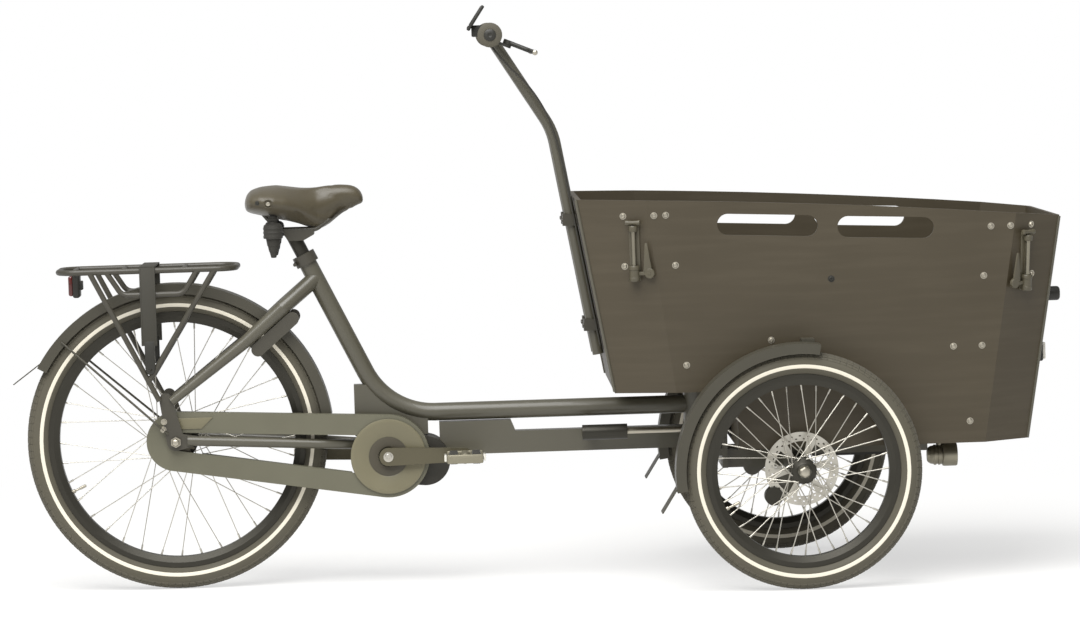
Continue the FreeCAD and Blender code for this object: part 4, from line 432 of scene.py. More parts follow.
def edit(piece: Piece, mode: str = "FACE") -> None:
    """Enter edit mode on one piece with nothing selected.

    Args:
        piece: mesh object to edit.
        mode: VERT, EDGE or FACE select mode.
    """
    activate(piece)
    bpy.ops.object.mode_set(mode="EDIT")
    bpy.ops.mesh.select_mode(type=mode)
    bpy.ops.mesh.select_all(action="DESELECT")


def pick(piece: Piece, test: Callable[[Vector, Vector], bool]) -> None:
    """Select the faces of a piece in edit mode by their centre and normal.

    Args:
        piece: mesh object in edit mode.
        test: takes a face's centre and normal, and says whether it is picked.
    """
    bpy.ops.object.mode_set(mode="OBJECT")
    for face in piece.data.polygons:
        face.select = test(face.center, face.normal)
    bpy.ops.object.mode_set(mode="EDIT")


def finish_mesh(piece: Piece, name: str, smooth_degrees: float = 35.0) -> Piece:
    """Merge doubles, turn the faces outwards and smooth a closed piece.

    Args:
        piece: mesh object.
        name: name that the piece gets.
        smooth_degrees: edges sharper than this stay sharp.

    Returns:
        The same piece.
    """
    edit(piece)
    bpy.ops.mesh.select_all(action="SELECT")
    bpy.ops.mesh.remove_doubles(threshold=1e-6)
    bpy.ops.mesh.normals_make_consistent(inside=False)
    activate(piece)
    bpy.ops.object.shade_smooth_by_angle(angle=math.radians(smooth_degrees))
    clear_selection()
    piece.name = name
    piece.data.name = name
    return piece


def settle(piece: Piece, centre: Vector, axis: Axis) -> None:
    """Turn an upright piece to its axis, set it in place and put both into its mesh.

    Args:
        piece: mesh object made at the origin.
        centre: where its origin goes.
        axis: direction that its height takes.
    """
    activate(piece)
    piece.rotation_euler = axis.value
    piece.location = centre
    apply_place()


def turned(name: str, profile: Profile, centre: Vector, axis: Axis, segments: int = 48,
           ring: bool = False) -> Piece:
    """Turn a piece from rings that are extruded and scaled one after another.

    Args:
        name: name of the piece.
        profile: radius and height of each ring in millimetres.
        centre: where the profile's zero height lies.
        axis: direction of the piece's height. Along Y, height counts towards -Y.
        segments: sides of each ring.
        ring: joins the last ring to the first, otherwise both ends are closed.

    Returns:
        The finished piece.
    """
    clear_selection()
    radius, height = profile[0]
    bpy.ops.mesh.primitive_circle_add(vertices=segments, radius=radius * MM, location=(0, 0, height * MM))
    piece = bpy.context.active_object
    apply_place()
    edit(piece, "EDGE")
    bpy.ops.mesh.select_all(action="SELECT")
    if not ring:
        bpy.ops.mesh.edge_face_add()
    for next_radius, next_height in profile[1:]:
        bpy.ops.mesh.extrude_region_move(
            TRANSFORM_OT_translate={"value": (0, 0, (next_height - height) * MM)})
        share = next_radius / radius
        bpy.ops.transform.resize(value=(share, share, 1), center_override=(0, 0, next_height * MM))
        radius, height = next_radius, next_height
    if ring:
        bpy.ops.mesh.select_non_manifold(extend=False)
        bpy.ops.mesh.bridge_edge_loops()
    settle(piece, centre, axis)
    return finish_mesh(piece, name)


def block(name: str, low: Vector, high: Vector, bevel_mm: float = 1.0, steps: int = 2) -> Piece:
    """Model a block with rounded edges.

    Args:
        name: name of the piece.
        low: lowest corner.
        high: highest corner.
        bevel_mm: width of the rounded edges.
        steps: faces across each rounded edge.

    Returns:
        The finished piece.
    """
    clear_selection()
    bpy.ops.mesh.primitive_cube_add(size=1, location=(low + high) / 2, scale=high - low)
    piece = bpy.context.active_object
    apply_place()
    edit(piece, "EDGE")
    bpy.ops.mesh.select_all(action="SELECT")
    bpy.ops.mesh.bevel(offset=bevel_mm * MM, segments=steps, affect="EDGES")
    return finish_mesh(piece, name)


def moved(piece: Piece, change: Matrix) -> Piece:
    """Move a piece's mesh by a matrix.

    Args:
        piece: piece to move.
        change: how its points move.

    Returns:
        The same piece, with its faces outwards also where the matrix mirrors.
    """
    piece.data.transform(change)
    if change.determinant() < 0:
        piece.data.flip_normals()
    return piece


def copied(piece: Piece, change: Matrix) -> Piece:
    """Copy a piece with its own mesh, moved by a matrix.

    Args:
        piece: piece to copy.
        change: how the copy's points move.

    Returns:
        The copy.
    """
    twin = piece.copy()
    twin.data = piece.data.copy()
    bpy.context.scene.collection.objects.link(twin)
    return moved(twin, change)


def joined(name: str, pieces: Iterable[Piece]) -> Piece:
    """Join pieces into one.

    Args:
        name: name of the joined piece.
        pieces: mesh objects, of which the first stays.

    Returns:
        The joined piece.
    """
    clear_selection()
    members = list(pieces)
    for piece in members:
        piece.select_set(True)
    bpy.context.view_layer.objects.active = members[0]
    if len(members) > 1:
        bpy.ops.object.join()
    members[0].name = name
    members[0].data.name = name
    clear_selection()
    return members[0]


def both_sides(name: str, pieces: Iterable[Piece]) -> Piece:
    """Join pieces of one side with their mirror images.

    Args:
        name: name of the joined piece.
        pieces: mesh objects of one side.

    Returns:
        The joined piece.
    """
    members = list(pieces)
    return joined(name, members + [copied(piece, MIRROR) for piece in members])


def wear(piece: Piece, finish: Finish) -> None:
    """Give a piece one finish."""
    piece.data.materials.clear()
    piece.data.materials.append(finish.material())


def fit(piece: Piece, body: Body, finish: Finish, slot: str, *nodes: str) -> Piece:
    """Dress a new piece, let it ride on its body and stand for the solids it replaces.

    Args:
        piece: new piece.
        body: body that carries it.
        finish: its finish.
        slot: material slot of the record that it follows; not used.
        nodes: CAD nodes that it stands for.

    Returns:
        The piece.
    """
    wear(piece, finish)
    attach(piece, body.value)
    if nodes:
        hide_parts(*nodes)
    LOG.info("%s rides on %s", piece.name, body.value)
    return piece


@dataclass
class Studio:
    """Pale floor, soft light and the camera of the photograph."""

    position: Point = (0.597 + AXLE_X, -9.918, 1.241)
    yaw: float = 0.0223
    pitch: float = -0.0649
    roll: float = -0.0302
    lens_mm: float = 148.17
    sensor_mm: float = 36.0
    sight_end: float = 200.0
    floor_half: float = 40.0
    floor_colour: str = "#f4f3f0"
    floor_glow: float = 0.6
    shadow_reach: float = 1.2
    white_reach: float = 2.8
    sky_light: float = 0.46
    key_power: float = 760.0
    key_size: float = 6.0
    key_place: Point = (-1.4, -3.4, 6.0)
    key_aim: Point = (0.0, 0.0, 0.5)

    def build(self) -> None:
        """Set up the floor, the light and the camera."""
        self.floor()
        self.light()
        self.camera()

    def floor(self) -> None:
        """Lay a pale floor that goes white in the camera and keeps the shadow."""
        clear_selection()
        bpy.ops.mesh.primitive_plane_add(size=self.floor_half * 2)
        ground = bpy.context.active_object
        ground.name = "floor"
        paint = bpy.data.materials.new("matt_paper")
        paint.use_nodes = True
        tree = paint.node_tree
        tree.nodes.clear()
        rays = add_node(tree, "ShaderNodeLightPath").outputs
        seen = add_node(tree, "ShaderNodeMath", {0: rays["Is Camera Ray"], 1: rays["Is Glossy Ray"]},
                        operation="MAXIMUM").outputs[0]
        seen = add_node(tree, "ShaderNodeMath", {0: seen, 1: rays["Is Transmission Ray"]},
                        operation="MAXIMUM").outputs[0]
        place = add_node(tree, "ShaderNodeTexCoord").outputs["Object"]
        reach = add_node(tree, "ShaderNodeVectorMath", {0: place}, operation="LENGTH").outputs["Value"]
        white = add_node(tree, "ShaderNodeMapRange", {
            "Value": reach, "From Min": self.shadow_reach, "From Max": self.white_reach,
            "To Min": self.floor_glow, "To Max": 1.0}, interpolation_type="SMOOTHSTEP").outputs["Result"]
        share = add_node(tree, "ShaderNodeMath", {0: seen, 1: white}, operation="MULTIPLY").outputs[0]
        matt = add_node(tree, "ShaderNodeBsdfDiffuse", {"Color": linear(self.floor_colour)}).outputs[0]
        glow = add_node(tree, "ShaderNodeEmission", {"Color": (1, 1, 1, 1), "Strength": 1.0}).outputs[0]
        mixed = add_node(tree, "ShaderNodeMixShader", {0: share, 1: matt, 2: glow}).outputs[0]
        add_node(tree, "ShaderNodeOutputMaterial", {"Surface": mixed})
        ground.data.materials.append(paint)

    def light(self) -> None:
        """Light the object with an even sky and one large lamp overhead."""
        world = bpy.data.worlds.new("studio")
        bpy.context.scene.world = world
        world.use_nodes = True
        tree = world.node_tree
        tree.nodes.clear()
        rays = add_node(tree, "ShaderNodeLightPath").outputs
        seen = add_node(tree, "ShaderNodeMath", {0: rays["Is Camera Ray"], 1: rays["Is Transmission Ray"]},
                        operation="MAXIMUM").outputs[0]
        strength = add_node(tree, "ShaderNodeMapRange", {
            "Value": seen, "To Min": self.sky_light, "To Max": 1.0}).outputs["Result"]
        sky = add_node(tree, "ShaderNodeBackground", {"Color": (1, 1, 1, 1), "Strength": strength}).outputs[0]
        add_node(tree, "ShaderNodeOutputWorld", {"Surface": sky})
        lamp = bpy.data.lights.new("key", "AREA")
        lamp.energy = self.key_power
        lamp.size = self.key_size
        key = bpy.data.objects.new("key", lamp)
        bpy.context.scene.collection.objects.link(key)
        key.location = self.key_place
        key.rotation_euler = (Vector(self.key_aim) - key.location).to_track_quat("-Z", "Y").to_euler()

    def camera(self) -> None:
        """Stand the camera where the photograph was taken."""
        ahead = Vector((math.sin(self.yaw) * math.cos(self.pitch), math.cos(self.yaw) * math.cos(self.pitch),
                        math.sin(self.pitch)))
        right = Vector((math.cos(self.yaw), -math.sin(self.yaw), 0))
        over = right.cross(ahead)
        side = right * math.cos(self.roll) + over * math.sin(self.roll)
        top = over * math.cos(self.roll) - right * math.sin(self.roll)
        lens = bpy.data.cameras.new("camera")
        lens.lens = self.lens_mm
        lens.sensor_width = self.sensor_mm
        lens.sensor_fit = "HORIZONTAL"
        lens.clip_end = self.sight_end
        stand = bpy.data.objects.new("camera", lens)
        turn = Matrix((side, top, -ahead)).transposed()
        stand.matrix_world = Matrix.Translation(self.position) @ turn.to_4x4()
        bpy.context.scene.collection.objects.link(stand)
        bpy.context.scene.camera = stand
        bpy.context.scene.view_settings.view_transform = "Standard"


@dataclass
class Tyre:
    """Tyre with raised tread blocks and a reflective ring on each wall."""

    node: str
    body: Body
    centre: Vector
    radius_mm: float
    steps: int
    finish: Finish
    section_mm: float = 25.6
    section_steps: int = 24
    tread_mm: float = 1.4
    groove_mm: float = 1.1
    # Cosine of the angle from the wheel's radius up to which faces carry tread
    tread_cosine: float = 0.58
    smooth_degrees: float = 30

    def build(self) -> None:
        """Model the tyre and let it stand for its solid."""
        clear_selection()
        bpy.ops.mesh.primitive_torus_add(
            major_segments=self.steps, minor_segments=self.section_steps,
            minor_radius=self.section_mm * MM,
            major_radius=(self.radius_mm - self.section_mm - self.tread_mm) * MM)
        piece = bpy.context.active_object
        settle(piece, self.centre, Axis.Y)
        edit(piece)
        pick(piece, self.on_tread)
        bpy.ops.mesh.inset(thickness=self.groove_mm * MM, depth=self.tread_mm * MM, use_individual=True)
        finish_mesh(piece, self.node.replace("tyre", "treaded_tyre"), self.smooth_degrees)
        fit(piece, self.body, self.finish, "tyre", self.node)

    def on_tread(self, middle: Vector, normal: Vector) -> bool:
        """Whether a face of the tyre carries a tread block."""
        outward = middle - self.centre
        outward.y = 0
        return normal.dot(outward.normalized()) > self.tread_cosine


@dataclass
class FrontHub:
    """Front hub shell with a drilled brake disc."""

    side: str
    body: Body
    # Radius and place along the axle of each ring of the shell, from the disc outwards
    shell: Profile = (
        (13, -41), (20, -41), (22, -39), (22, -34), (17, -30), (17, -25), (26, -24.5), (28, -23.5),
        (28, -21.5), (26, -20.5), (18, -18), (17, 0), (18, 16), (26, 18.5), (28, 19.5), (28, 21.5),
        (26, 22.5), (19, 24), (16, 26), (15, 32), (13.5, 33), (11, 33))
    disc_mm: float = 80
    disc_in_mm: float = 37
    disc_thick_mm: float = 1.8
    # Radii of the flat disc's rings of faces, from its edge inwards
    disc_rings: tuple = (77, 73, 70, 66.5, 63.5, 60, 40, 21)
    slots: int = 96
    # Inner and outer radius of each row of holes, and which slot of each group is drilled
    hole_rows: tuple = ((70, 73, 0), (63.5, 66.5, 2))
    hole_slots: int = 4
    # Arms inside this radius: slots from one arm to the next, and an arm's last slot
    arms_mm: float = 60
    arm_slots: int = 16
    arm_last: int = 4

    def build(self) -> None:
        """Model the right hub and disc, mirrored for the left side."""
        centre = at(WHEELBASE_MM, -HALF_TRACK_MM, FRONT_RADIUS_MM)
        shell = turned("shell", self.shell, centre, Axis.Y, ring=True)
        disc = self.disc(centre)
        for piece, name, finish, slot in ((shell, "hub_shell", BLACK_ALLOY, "hub"),
                                          (disc, "brake_disc", STEEL, "steel")):
            if self.side == "left":
                moved(piece, MIRROR)
            piece.name = f"{name}_{self.side}"
            fit(piece, self.body, finish, slot, f"front_hub_{self.side}")

    def disc(self, centre: Vector) -> Piece:
        """Model the disc: a drilled ring on six arms.

        Args:
            centre: middle of the wheel.

        Returns:
            The disc.
        """
        clear_selection()
        bpy.ops.mesh.primitive_circle_add(vertices=self.slots, radius=self.disc_mm * MM)
        piece = bpy.context.active_object
        edit(piece, "EDGE")
        bpy.ops.mesh.select_all(action="SELECT")
        radius = self.disc_mm
        for ring in self.disc_rings:
            bpy.ops.mesh.extrude_region_move()
            bpy.ops.transform.resize(value=(ring / radius, ring / radius, 1), center_override=(0, 0, 0))
            radius = ring
        bpy.ops.mesh.select_mode(type="FACE")
        pick(piece, self.is_hole)
        bpy.ops.mesh.delete(type="FACE")
        activate(piece)
        piece.modifiers.new("thick", "SOLIDIFY").thickness = self.disc_thick_mm * MM
        bpy.ops.object.modifier_apply(modifier="thick")
        settle(piece, centre + Vector((0, self.disc_in_mm * MM, 0)), Axis.Y)
        return finish_mesh(piece, "disc")

    def is_hole(self, middle: Vector, normal: Vector) -> bool:
        """Whether a face of the flat disc is a drilled hole or a gap between arms."""
        reach = math.hypot(middle.x, middle.y) / MM
        slot = math.floor((math.atan2(middle.y, middle.x) / math.tau + 0.5) * self.slots)
        if reach < self.arms_mm:
            return slot % self.arm_slots > self.arm_last
        return any(low < reach < high and slot % self.hole_slots == drilled
                   for low, high, drilled in self.hole_rows)


@dataclass
class Saddle:
    """Padded saddle with its rivets, studs and elastomer springs."""

    # x, half width, lowest and highest z of each ring of the cover
    rings: tuple = (
        (168, 48, 845, 866), (172, 66, 839, 877), (182, 83, 836, 887), (204, 94, 832, 892),
        (232, 96, 827, 891), (262, 87, 822, 887), (290, 71, 814, 883), (312, 57, 804, 882),
        (329, 46, 798, 883), (343, 40, 804, 885), (360, 34, 818, 887), (380, 29, 834, 891),
        (402, 26, 845, 892), (417, 23, 849, 888), (427, 18, 851, 879), (432, 11, 853, 867))
    ring_points: int = 40
    voxel_mm: float = 5.0
    rounding_steps: int = 6
    swell_cap_mm: float = 6.0
    pressure: float = 4.0
    stiffness: float = 40.0
    swell_frames: int = 20
    rivet: Point = (221, -130, 851)
    stud: Point = (184, -120, 857)
    rivet_head: Profile = ((1, 2.2), (3, 2.0), (4.6, 1.2), (5.2, 0), (5.2, -3))
    rivet_ring: Profile = ((8.2, -2), (8.2, 0.6), (8.8, 1.2), (9.8, 1.2), (10.4, 0.6), (10.4, -2))
    spring_x_mm: float = 230
    spring_y_mm: float = 55
    # A long tapered tip, a ribbed bulge and a collar, by radius and z
    spring: Profile = (
        (3, 736.6), (5.5, 737), (6.5, 740), (9, 750), (10, 750.5), (12.5, 763), (13.5, 763.5), (16, 779),
        (21, 780), (22, 784), (20.8, 787.5), (20.8, 789), (22, 793), (20.8, 796.5), (20.8, 798), (22, 802),
        (20.8, 805.5), (20, 809), (15, 813), (11, 814), (9.5, 818), (13, 820), (13, 823), (10, 824),
        (10, 829))

    def build(self) -> None:
        """Model the padding, the rivets and both springs."""
        cover = fit(self.padding(), Body.SEAT, SADDLE_VINYL, "saddle", "saddle_cover")
        rivets = self.rivets("saddle_rivets", cover, self.rivet, self.rivet_head)
        fit(rivets, Body.SEAT, ZINC, "steel")
        rings = self.rivets("rivet_rings", cover, self.rivet, self.rivet_ring, True)
        fit(rings, Body.SEAT, SADDLE_VINYL, "saddle")
        studs = self.rivets("saddle_studs", cover, self.stud, self.rivet_head)
        fit(studs, Body.SEAT, BLACK_PLASTIC, "plastic")
        spring = turned("spring", self.spring, at(self.spring_x_mm, -self.spring_y_mm, 0), Axis.Z, 32)
        fit(both_sides("elastomer_springs", [spring]), Body.SEAT, GRIP_RUBBER, "rubber", "saddle_springs")

    @staticmethod
    def rivets(name: str, cover: Piece, near: Point, profile: Profile, ring: bool = False) -> Piece:
        """Set a turned piece into the cover at both sides.

        Args:
            name: name of the pieces.
            cover: padded cover that carries them.
            near: point outside the cover, whose closest place on it is taken.
            profile: radius and height of the piece.
            ring: whether the piece is a ring.

        Returns:
            The pieces of both sides.
        """
        _, place, normal, _ = cover.closest_point_on_mesh(at(*near))
        piece = turned("rivet", profile, Vector(), Axis.Z, 24, ring)
        turn = normal.to_track_quat("Z", "Y").to_matrix().to_4x4()
        return both_sides(name, [moved(piece, Matrix.Translation(place) @ turn)])

    def outline(self) -> Piece:
        """Draw the cover in rings from its rear to its nose.

        Returns:
            The cover before it is padded.
        """
        clear_selection()
        bpy.ops.mesh.primitive_circle_add(vertices=self.ring_points, radius=MM, rotation=Axis.X.value)
        cover = bpy.context.active_object
        apply_place()
        edit(cover, "EDGE")
        bpy.ops.mesh.select_all(action="SELECT")
        bpy.ops.mesh.edge_face_add()
        centre, half, tall = Vector(), 1.0, 2.0
        for step, (x, next_half, low, high) in enumerate(self.rings):
            move = at(x, 0, (low + high) / 2) - centre
            if step:
                bpy.ops.mesh.extrude_region_move(TRANSFORM_OT_translate={"value": move})
            else:
                bpy.ops.transform.translate(value=move)
            centre += move
            bpy.ops.transform.resize(value=(1, next_half / half, (high - low) / tall), center_override=centre)
            half, tall = next_half, high - low
        return finish_mesh(cover, "saddle_padding")

    def padding(self) -> Piece:
        """Let the cover swell like foam under vinyl.

        Returns:
            The padded cover.
        """
        cover = self.outline()
        activate(cover)
        cover.data.remesh_voxel_size = self.voxel_mm * MM
        bpy.ops.object.voxel_remesh()
        rounding = cover.modifiers.new("rounding", "SMOOTH")
        rounding.factor = 0.5
        rounding.iterations = self.rounding_steps
        bpy.ops.object.modifier_apply(modifier="rounding")
        self.swell(cover)
        finer = cover.modifiers.new("finer", "SUBSURF")
        finer.levels = finer.render_levels = 1
        bpy.ops.object.modifier_apply(modifier="finer")
        bpy.ops.object.shade_smooth()
        return cover

    def swell(self, cover: Piece) -> None:
        """Blow the cover up a little as cloth over foam.

        Args:
            cover: remeshed cover, active and selected.
        """
        rest = [point.co.copy() for point in cover.data.vertices]
        cloth = cover.modifiers.new("cloth", "CLOTH").settings
        cloth.use_pressure = True
        cloth.uniform_pressure_force = self.pressure
        cloth.effector_weights.gravity = 0.0
        cloth.tension_stiffness = cloth.compression_stiffness = self.stiffness
        for step in range(1, self.swell_frames + 1):
            bpy.context.scene.frame_set(step)
        bpy.ops.object.modifier_apply(modifier="cloth")
        bpy.context.scene.frame_set(1)
        for point, start in zip(cover.data.vertices, rest):
            move = point.co - start
            if move.length > self.swell_cap_mm * MM:
                point.co = start + move.normalized() * self.swell_cap_mm * MM


@dataclass
class CargoBox:
    """Fittings on the cargo box: bolts, canopy-pole clamps, edge trim and handlebar clamps."""

    half_mm: float = 305
    low_mm: float = 300
    top_mm: float = 860
    # Each upright fold: x at the bed and at the top, and how far the wall stands in there
    folds: tuple = ((992.5, 896, 38.1, 43), (1120, 1043.5, 0, 0), (1772, 1861, 0, 0), (1873, 1967, 66.7, 70))
    # Places of bolts and of the stud, as shares of the box's length and height
    bolts: tuple = (
        (0.095, 0.920), (0.157, 0.920), (0.181, 0.920), (0.096, 0.725), (0.198, 0.725), (0.215, 0.336),
        (0.388, 0.423), (0.840, 0.839), (0.880, 0.839), (0.925, 0.839), (0.823, 0.648), (0.925, 0.646),
        (0.758, 0.377), (0.816, 0.377), (0.788, 0.084))
    stud: tuple = (0.513, 0.654)
    head: Profile = (
        (2.4, 1.4), (2.6, 3.2), (4.2, 2.9), (5.2, 1.8), (5.5, 0.3), (7.4, 0.3), (7.4, 0))
    # Canopy clamps: shares of length and height, and the side on which the lever stands
    clamps: tuple = ((0.118, 0.668, 1), (0.905, 0.586, -1))
    # Solids of the fasteners that are longer than this are the risers' clamp blocks
    block_mm: float = 15
    # Screws of the clamp blocks: x and z of each row, y in a row, and how far they stand behind
    screw_rows: tuple = ((932.5, 566), (892, 801))
    screw_columns: tuple = (-64.5, -35.5, 35.5, 64.5)
    screw_back_mm: float = 19
    screw: Profile = ((1.8, 1.0), (2.0, 3.0), (3.6, 2.7), (4.2, 1.0), (4.2, -2))
    # Trimmed folds, and the shares of the height that their trim runs between
    trims: tuple = ((0, 0.235, 0.985), (3, 0.0, 0.865))

    def build(self) -> None:
        """Model the fittings on both walls."""
        self.bolt_heads()
        self.canopy_clamps()
        self.edge_trim()

    def fold_point(self, index: int, level: float) -> Vector:
        """Point on one upright fold of the right wall, at a share of the height."""
        low_x, top_x, low_cut, top_cut = self.folds[index]
        x = low_x + (top_x - low_x) * level
        cut = low_cut + (top_cut - low_cut) * level
        return at(x, -(self.half_mm - cut), self.low_mm + (self.top_mm - self.low_mm) * level)

    def on_wall(self, along: float, level: float) -> Matrix:
        """Place on the right wall: x along it, y up it, z outwards.

        Args:
            along: share of the box's length at the top.
            level: share of the box's height.

        Returns:
            Matrix from the wall's own axes to the model's.
        """
        start, end = self.folds[0][1], self.folds[3][1]
        x = at(start + (end - start) * along, 0, 0).x
        marks = [self.fold_point(i, level) for i in range(4)]
        panel = 0 if x < marks[1].x else 2 if x > marks[2].x else 1
        near, far = marks[panel], marks[panel + 1]
        rise = self.fold_point(panel, 1) - self.fold_point(panel, 0)
        run = (far - near).normalized()
        outward = run.cross(rise).normalized()
        point = near + (far - near) * ((x - near.x) / (far.x - near.x))
        turn = Matrix((run, outward.cross(run), outward)).transposed().to_4x4()
        return Matrix.Translation(point) @ turn

    def bolt_heads(self) -> None:
        """Set a domed socket-head bolt at each place, a dark stud at one, and keep the bar clamps."""
        head = turned("head", self.head, Vector(), Axis.Z, 20)
        bolts = both_sides("wall_bolts", [copied(head, self.on_wall(*place)) for place in self.bolts])
        fit(bolts, Body.CARRIAGE, ZINC, "steel", "box_fasteners")
        studs = both_sides("wall_studs", [copied(head, self.on_wall(*self.stud))])
        fit(studs, Body.CARRIAGE, BLACK_PLASTIC, "plastic", "box_fasteners")
        bpy.data.objects.remove(head)
        fit(self.bar_clamps(), Body.CARRIAGE, POWDER_BLACK, "frame", "box_fasteners")

    def bar_clamps(self) -> Piece:
        """Take the risers' clamp blocks, which fit the risers and the panel, and add their screws.

        Returns:
            The clamps of both sides.
        """
        source = frame["nodes"]["box_fasteners"]
        body = bpy.data.objects.new("clamp_source", source.data.copy())
        bpy.context.scene.collection.objects.link(body)
        edit(body)
        bpy.ops.mesh.select_all(action="SELECT")
        bpy.ops.mesh.remove_doubles(threshold=1e-5)
        bpy.ops.mesh.separate(type="LOOSE")
        clear_selection()
        parts = [part for part in bpy.context.scene.objects if part.name.startswith(body.name)]
        kept = [part for part in parts if max(part.dimensions) > self.block_mm * MM]
        for other in set(parts) - set(kept):
            bpy.data.objects.remove(other)
        screw = turned("screw", self.screw, Vector(), Axis.X, 16)
        turn = Matrix.Rotation(math.pi, 4, "Z")
        screws = [copied(screw, Matrix.Translation(at(x - self.screw_back_mm, y, z)) @ turn)
                  for x, z in self.screw_rows for y in self.screw_columns]
        bpy.data.objects.remove(screw)
        return finish_mesh(joined("bar_clamps", kept + screws), "bar_clamps", 25)

    def canopy_clamps(self) -> None:
        """Model the clamps that hold a canopy's poles at the four corners."""
        bodies, rods = [], []
        for along, level, way in self.clamps:
            place = self.on_wall(along, level)
            for group, piece in zip((bodies, rods), self.canopy_clamp(way)):
                group.append(moved(piece, place))
        fit(both_sides("canopy_clamps", bodies), Body.CARRIAGE, CLAMP_NYLON, "plastic", "tent_clamps")
        fit(both_sides("canopy_rods", rods), Body.CARRIAGE, BRUSHED_ALLOY, "dark_steel", "tent_clamps")

    def canopy_clamp(self, way: int) -> tuple[Piece, Piece]:
        """Model one clamp flat, x along the wall, y up and z outwards.

        Args:
            way: side on which the tightening lever stands, 1 or -1.

        Returns:
            The clamp's body, and its rod.
        """
        rod_out, hinge_x, hinge_y = 12, way * 34, 17

        def upright(name: str, *profile: tuple[float, float]) -> Piece:
            """Turn a piece round the rod's axis, with its height up the wall."""
            return turned(name, [(r, -h) for r, h in profile], local(0, 0, rod_out), Axis.Y, 24)

        plate = block("plate", local(-12, 0, 0.3), local(12, 128, 4), 1.5)
        socket = upright("socket", (8, 0), (11, 0), (12, 1.5), (12, 8), (11, 9), (11, 25), (12, 26),
                         (12, 32.5), (11, 34), (8, 34))
        strip = block("strip", local(-3, 4, 4), local(3, 122, 7), 1)
        collar = upright("collar", (6, 108), (9, 109), (9.5, 112), (9.5, 119), (8, 121), (6, 121))
        knob = turned("knob", [(3, -17), (5.4, -16), (6, -14), (5, -9), (4.6, 0), (5, 9), (6, 14),
                               (5.4, 16), (3, 17)], local(0, 127.5, rod_out), Axis.X, 20)
        hub = turned("hub", [(4, 7.5), (10, 7.5), (11, 8.5), (11, 14.5), (10, 15.5), (4, 15.5)],
                     local(hinge_x, hinge_y, 0), Axis.Z, 28)
        arm = block("arm", local(min(0, hinge_x), 13, 9), local(max(0, hinge_x), 21, 14), 1.5)
        lever = self.lever_blade(way)
        pin = turned("pin", [(2, 16), (3.2, 16), (3.6, 15.4), (3.6, 14)],
                     local(hinge_x, hinge_y, 0), Axis.Z, 16)
        body = joined("body", [plate, socket, strip, collar, knob, hub, arm, lever, pin])
        return body, upright("rod", (3, 33), (4.5, 34), (4.5, 108), (3, 109))

    @staticmethod
    def lever_blade(way: int) -> Piece:
        """Model the clamp's drop-shaped lever blade.

        Args:
            way: side on which it stands, 1 or -1.

        Returns:
            The blade.
        """
        clear_selection()
        bpy.ops.mesh.primitive_cube_add(size=1, location=local(way * 30, 52, 12), scale=local(20, 62, 5))
        blade = bpy.context.active_object
        apply_place()
        edit(blade)
        pick(blade, lambda middle, normal: normal.y > 0.9)
        bpy.ops.transform.resize(value=(0.28, 1, 0.8), center_override=local(way * 27, 83, 12))
        bpy.ops.mesh.select_all(action="SELECT")
        bpy.ops.mesh.bevel(offset=1.4 * MM, segments=2, affect="EDGES")
        return finish_mesh(blade, "blade")

    def edge_trim(self) -> None:
        """Cap the rear and front upright edges with slim rounded trim."""
        strips = []
        for fold, low_level, high_level in self.trims:
            start, end = self.fold_point(fold, low_level), self.fold_point(fold, high_level)
            length = (end - start).length / MM
            strip = turned("strip", [(2, 0), (3.4, 1), (3.4, length - 1), (2, length)], Vector(), Axis.Z, 14)
            turn = (end - start).to_track_quat("Z", "Y").to_matrix().to_4x4()
            strips.append(moved(strip, Matrix.Translation(start) @ turn))
        fit(both_sides("corner_trim", strips), Body.CARRIAGE, POWDER_COAT, "frame")


@dataclass
class ChainCase:
    """Cover disc over the crank, and the panel on the case's upper arm."""

    rim: Profile = ((44, 66.1), (45, 66.7), (74, 66.7), (76, 67.2), (81, 67.2), (83, 66.8), (83.6, 66.1))
    inner: Profile = ((22.5, 66.1), (22.5, 66.6), (24, 66.9), (41, 66.9), (43, 66.5), (43, 66.1))
    # x and z of the panel's corners
    panel: tuple = ((3, 387), (83, 387), (57, 362), (10, 362), (3, 369))
    face_mm: float = 62
    panel_gap_mm: float = 0.05
    panel_rise_mm: float = 1.4
    panel_edge_mm: float = 2.5
    panel_crown_mm: float = 0.8
    smooth_degrees: float = 20

    def build(self) -> None:
        """Model the disc's raised rim and its sunk inner ring, and the panel."""
        rim = turned("case_disc_rim", self.rim, at(*CRANK_AXIS), Axis.Y, 96, ring=True)
        fit(rim, Body.REAR, CASE_DISC, "case")
        ring = turned("case_disc_inner", self.inner, at(*CRANK_AXIS), Axis.Y, 72, ring=True)
        fit(ring, Body.REAR, CASE_RING, "case")
        fit(self.side_panel(), Body.REAR, CASE_DISC, "case")

    def side_panel(self) -> Piece:
        """Model the raised panel on the case's upper arm.

        Returns:
            The panel.
        """
        clear_selection()
        bpy.ops.mesh.primitive_circle_add(vertices=len(self.panel), radius=0.02, fill_type="NGON")
        panel = bpy.context.active_object
        for point, (x, z) in zip(panel.data.vertices, self.panel):
            point.co = at(x, -self.face_mm - self.panel_gap_mm, z)
        edit(panel)
        bpy.ops.mesh.select_all(action="SELECT")
        bpy.ops.mesh.extrude_region_move(TRANSFORM_OT_translate={"value": local(0, -self.panel_rise_mm, 0)})
        bpy.ops.mesh.inset(thickness=self.panel_edge_mm * MM)
        bpy.ops.transform.translate(value=local(0, -self.panel_crown_mm, 0))
        return finish_mesh(panel, "case_panel", self.smooth_degrees)


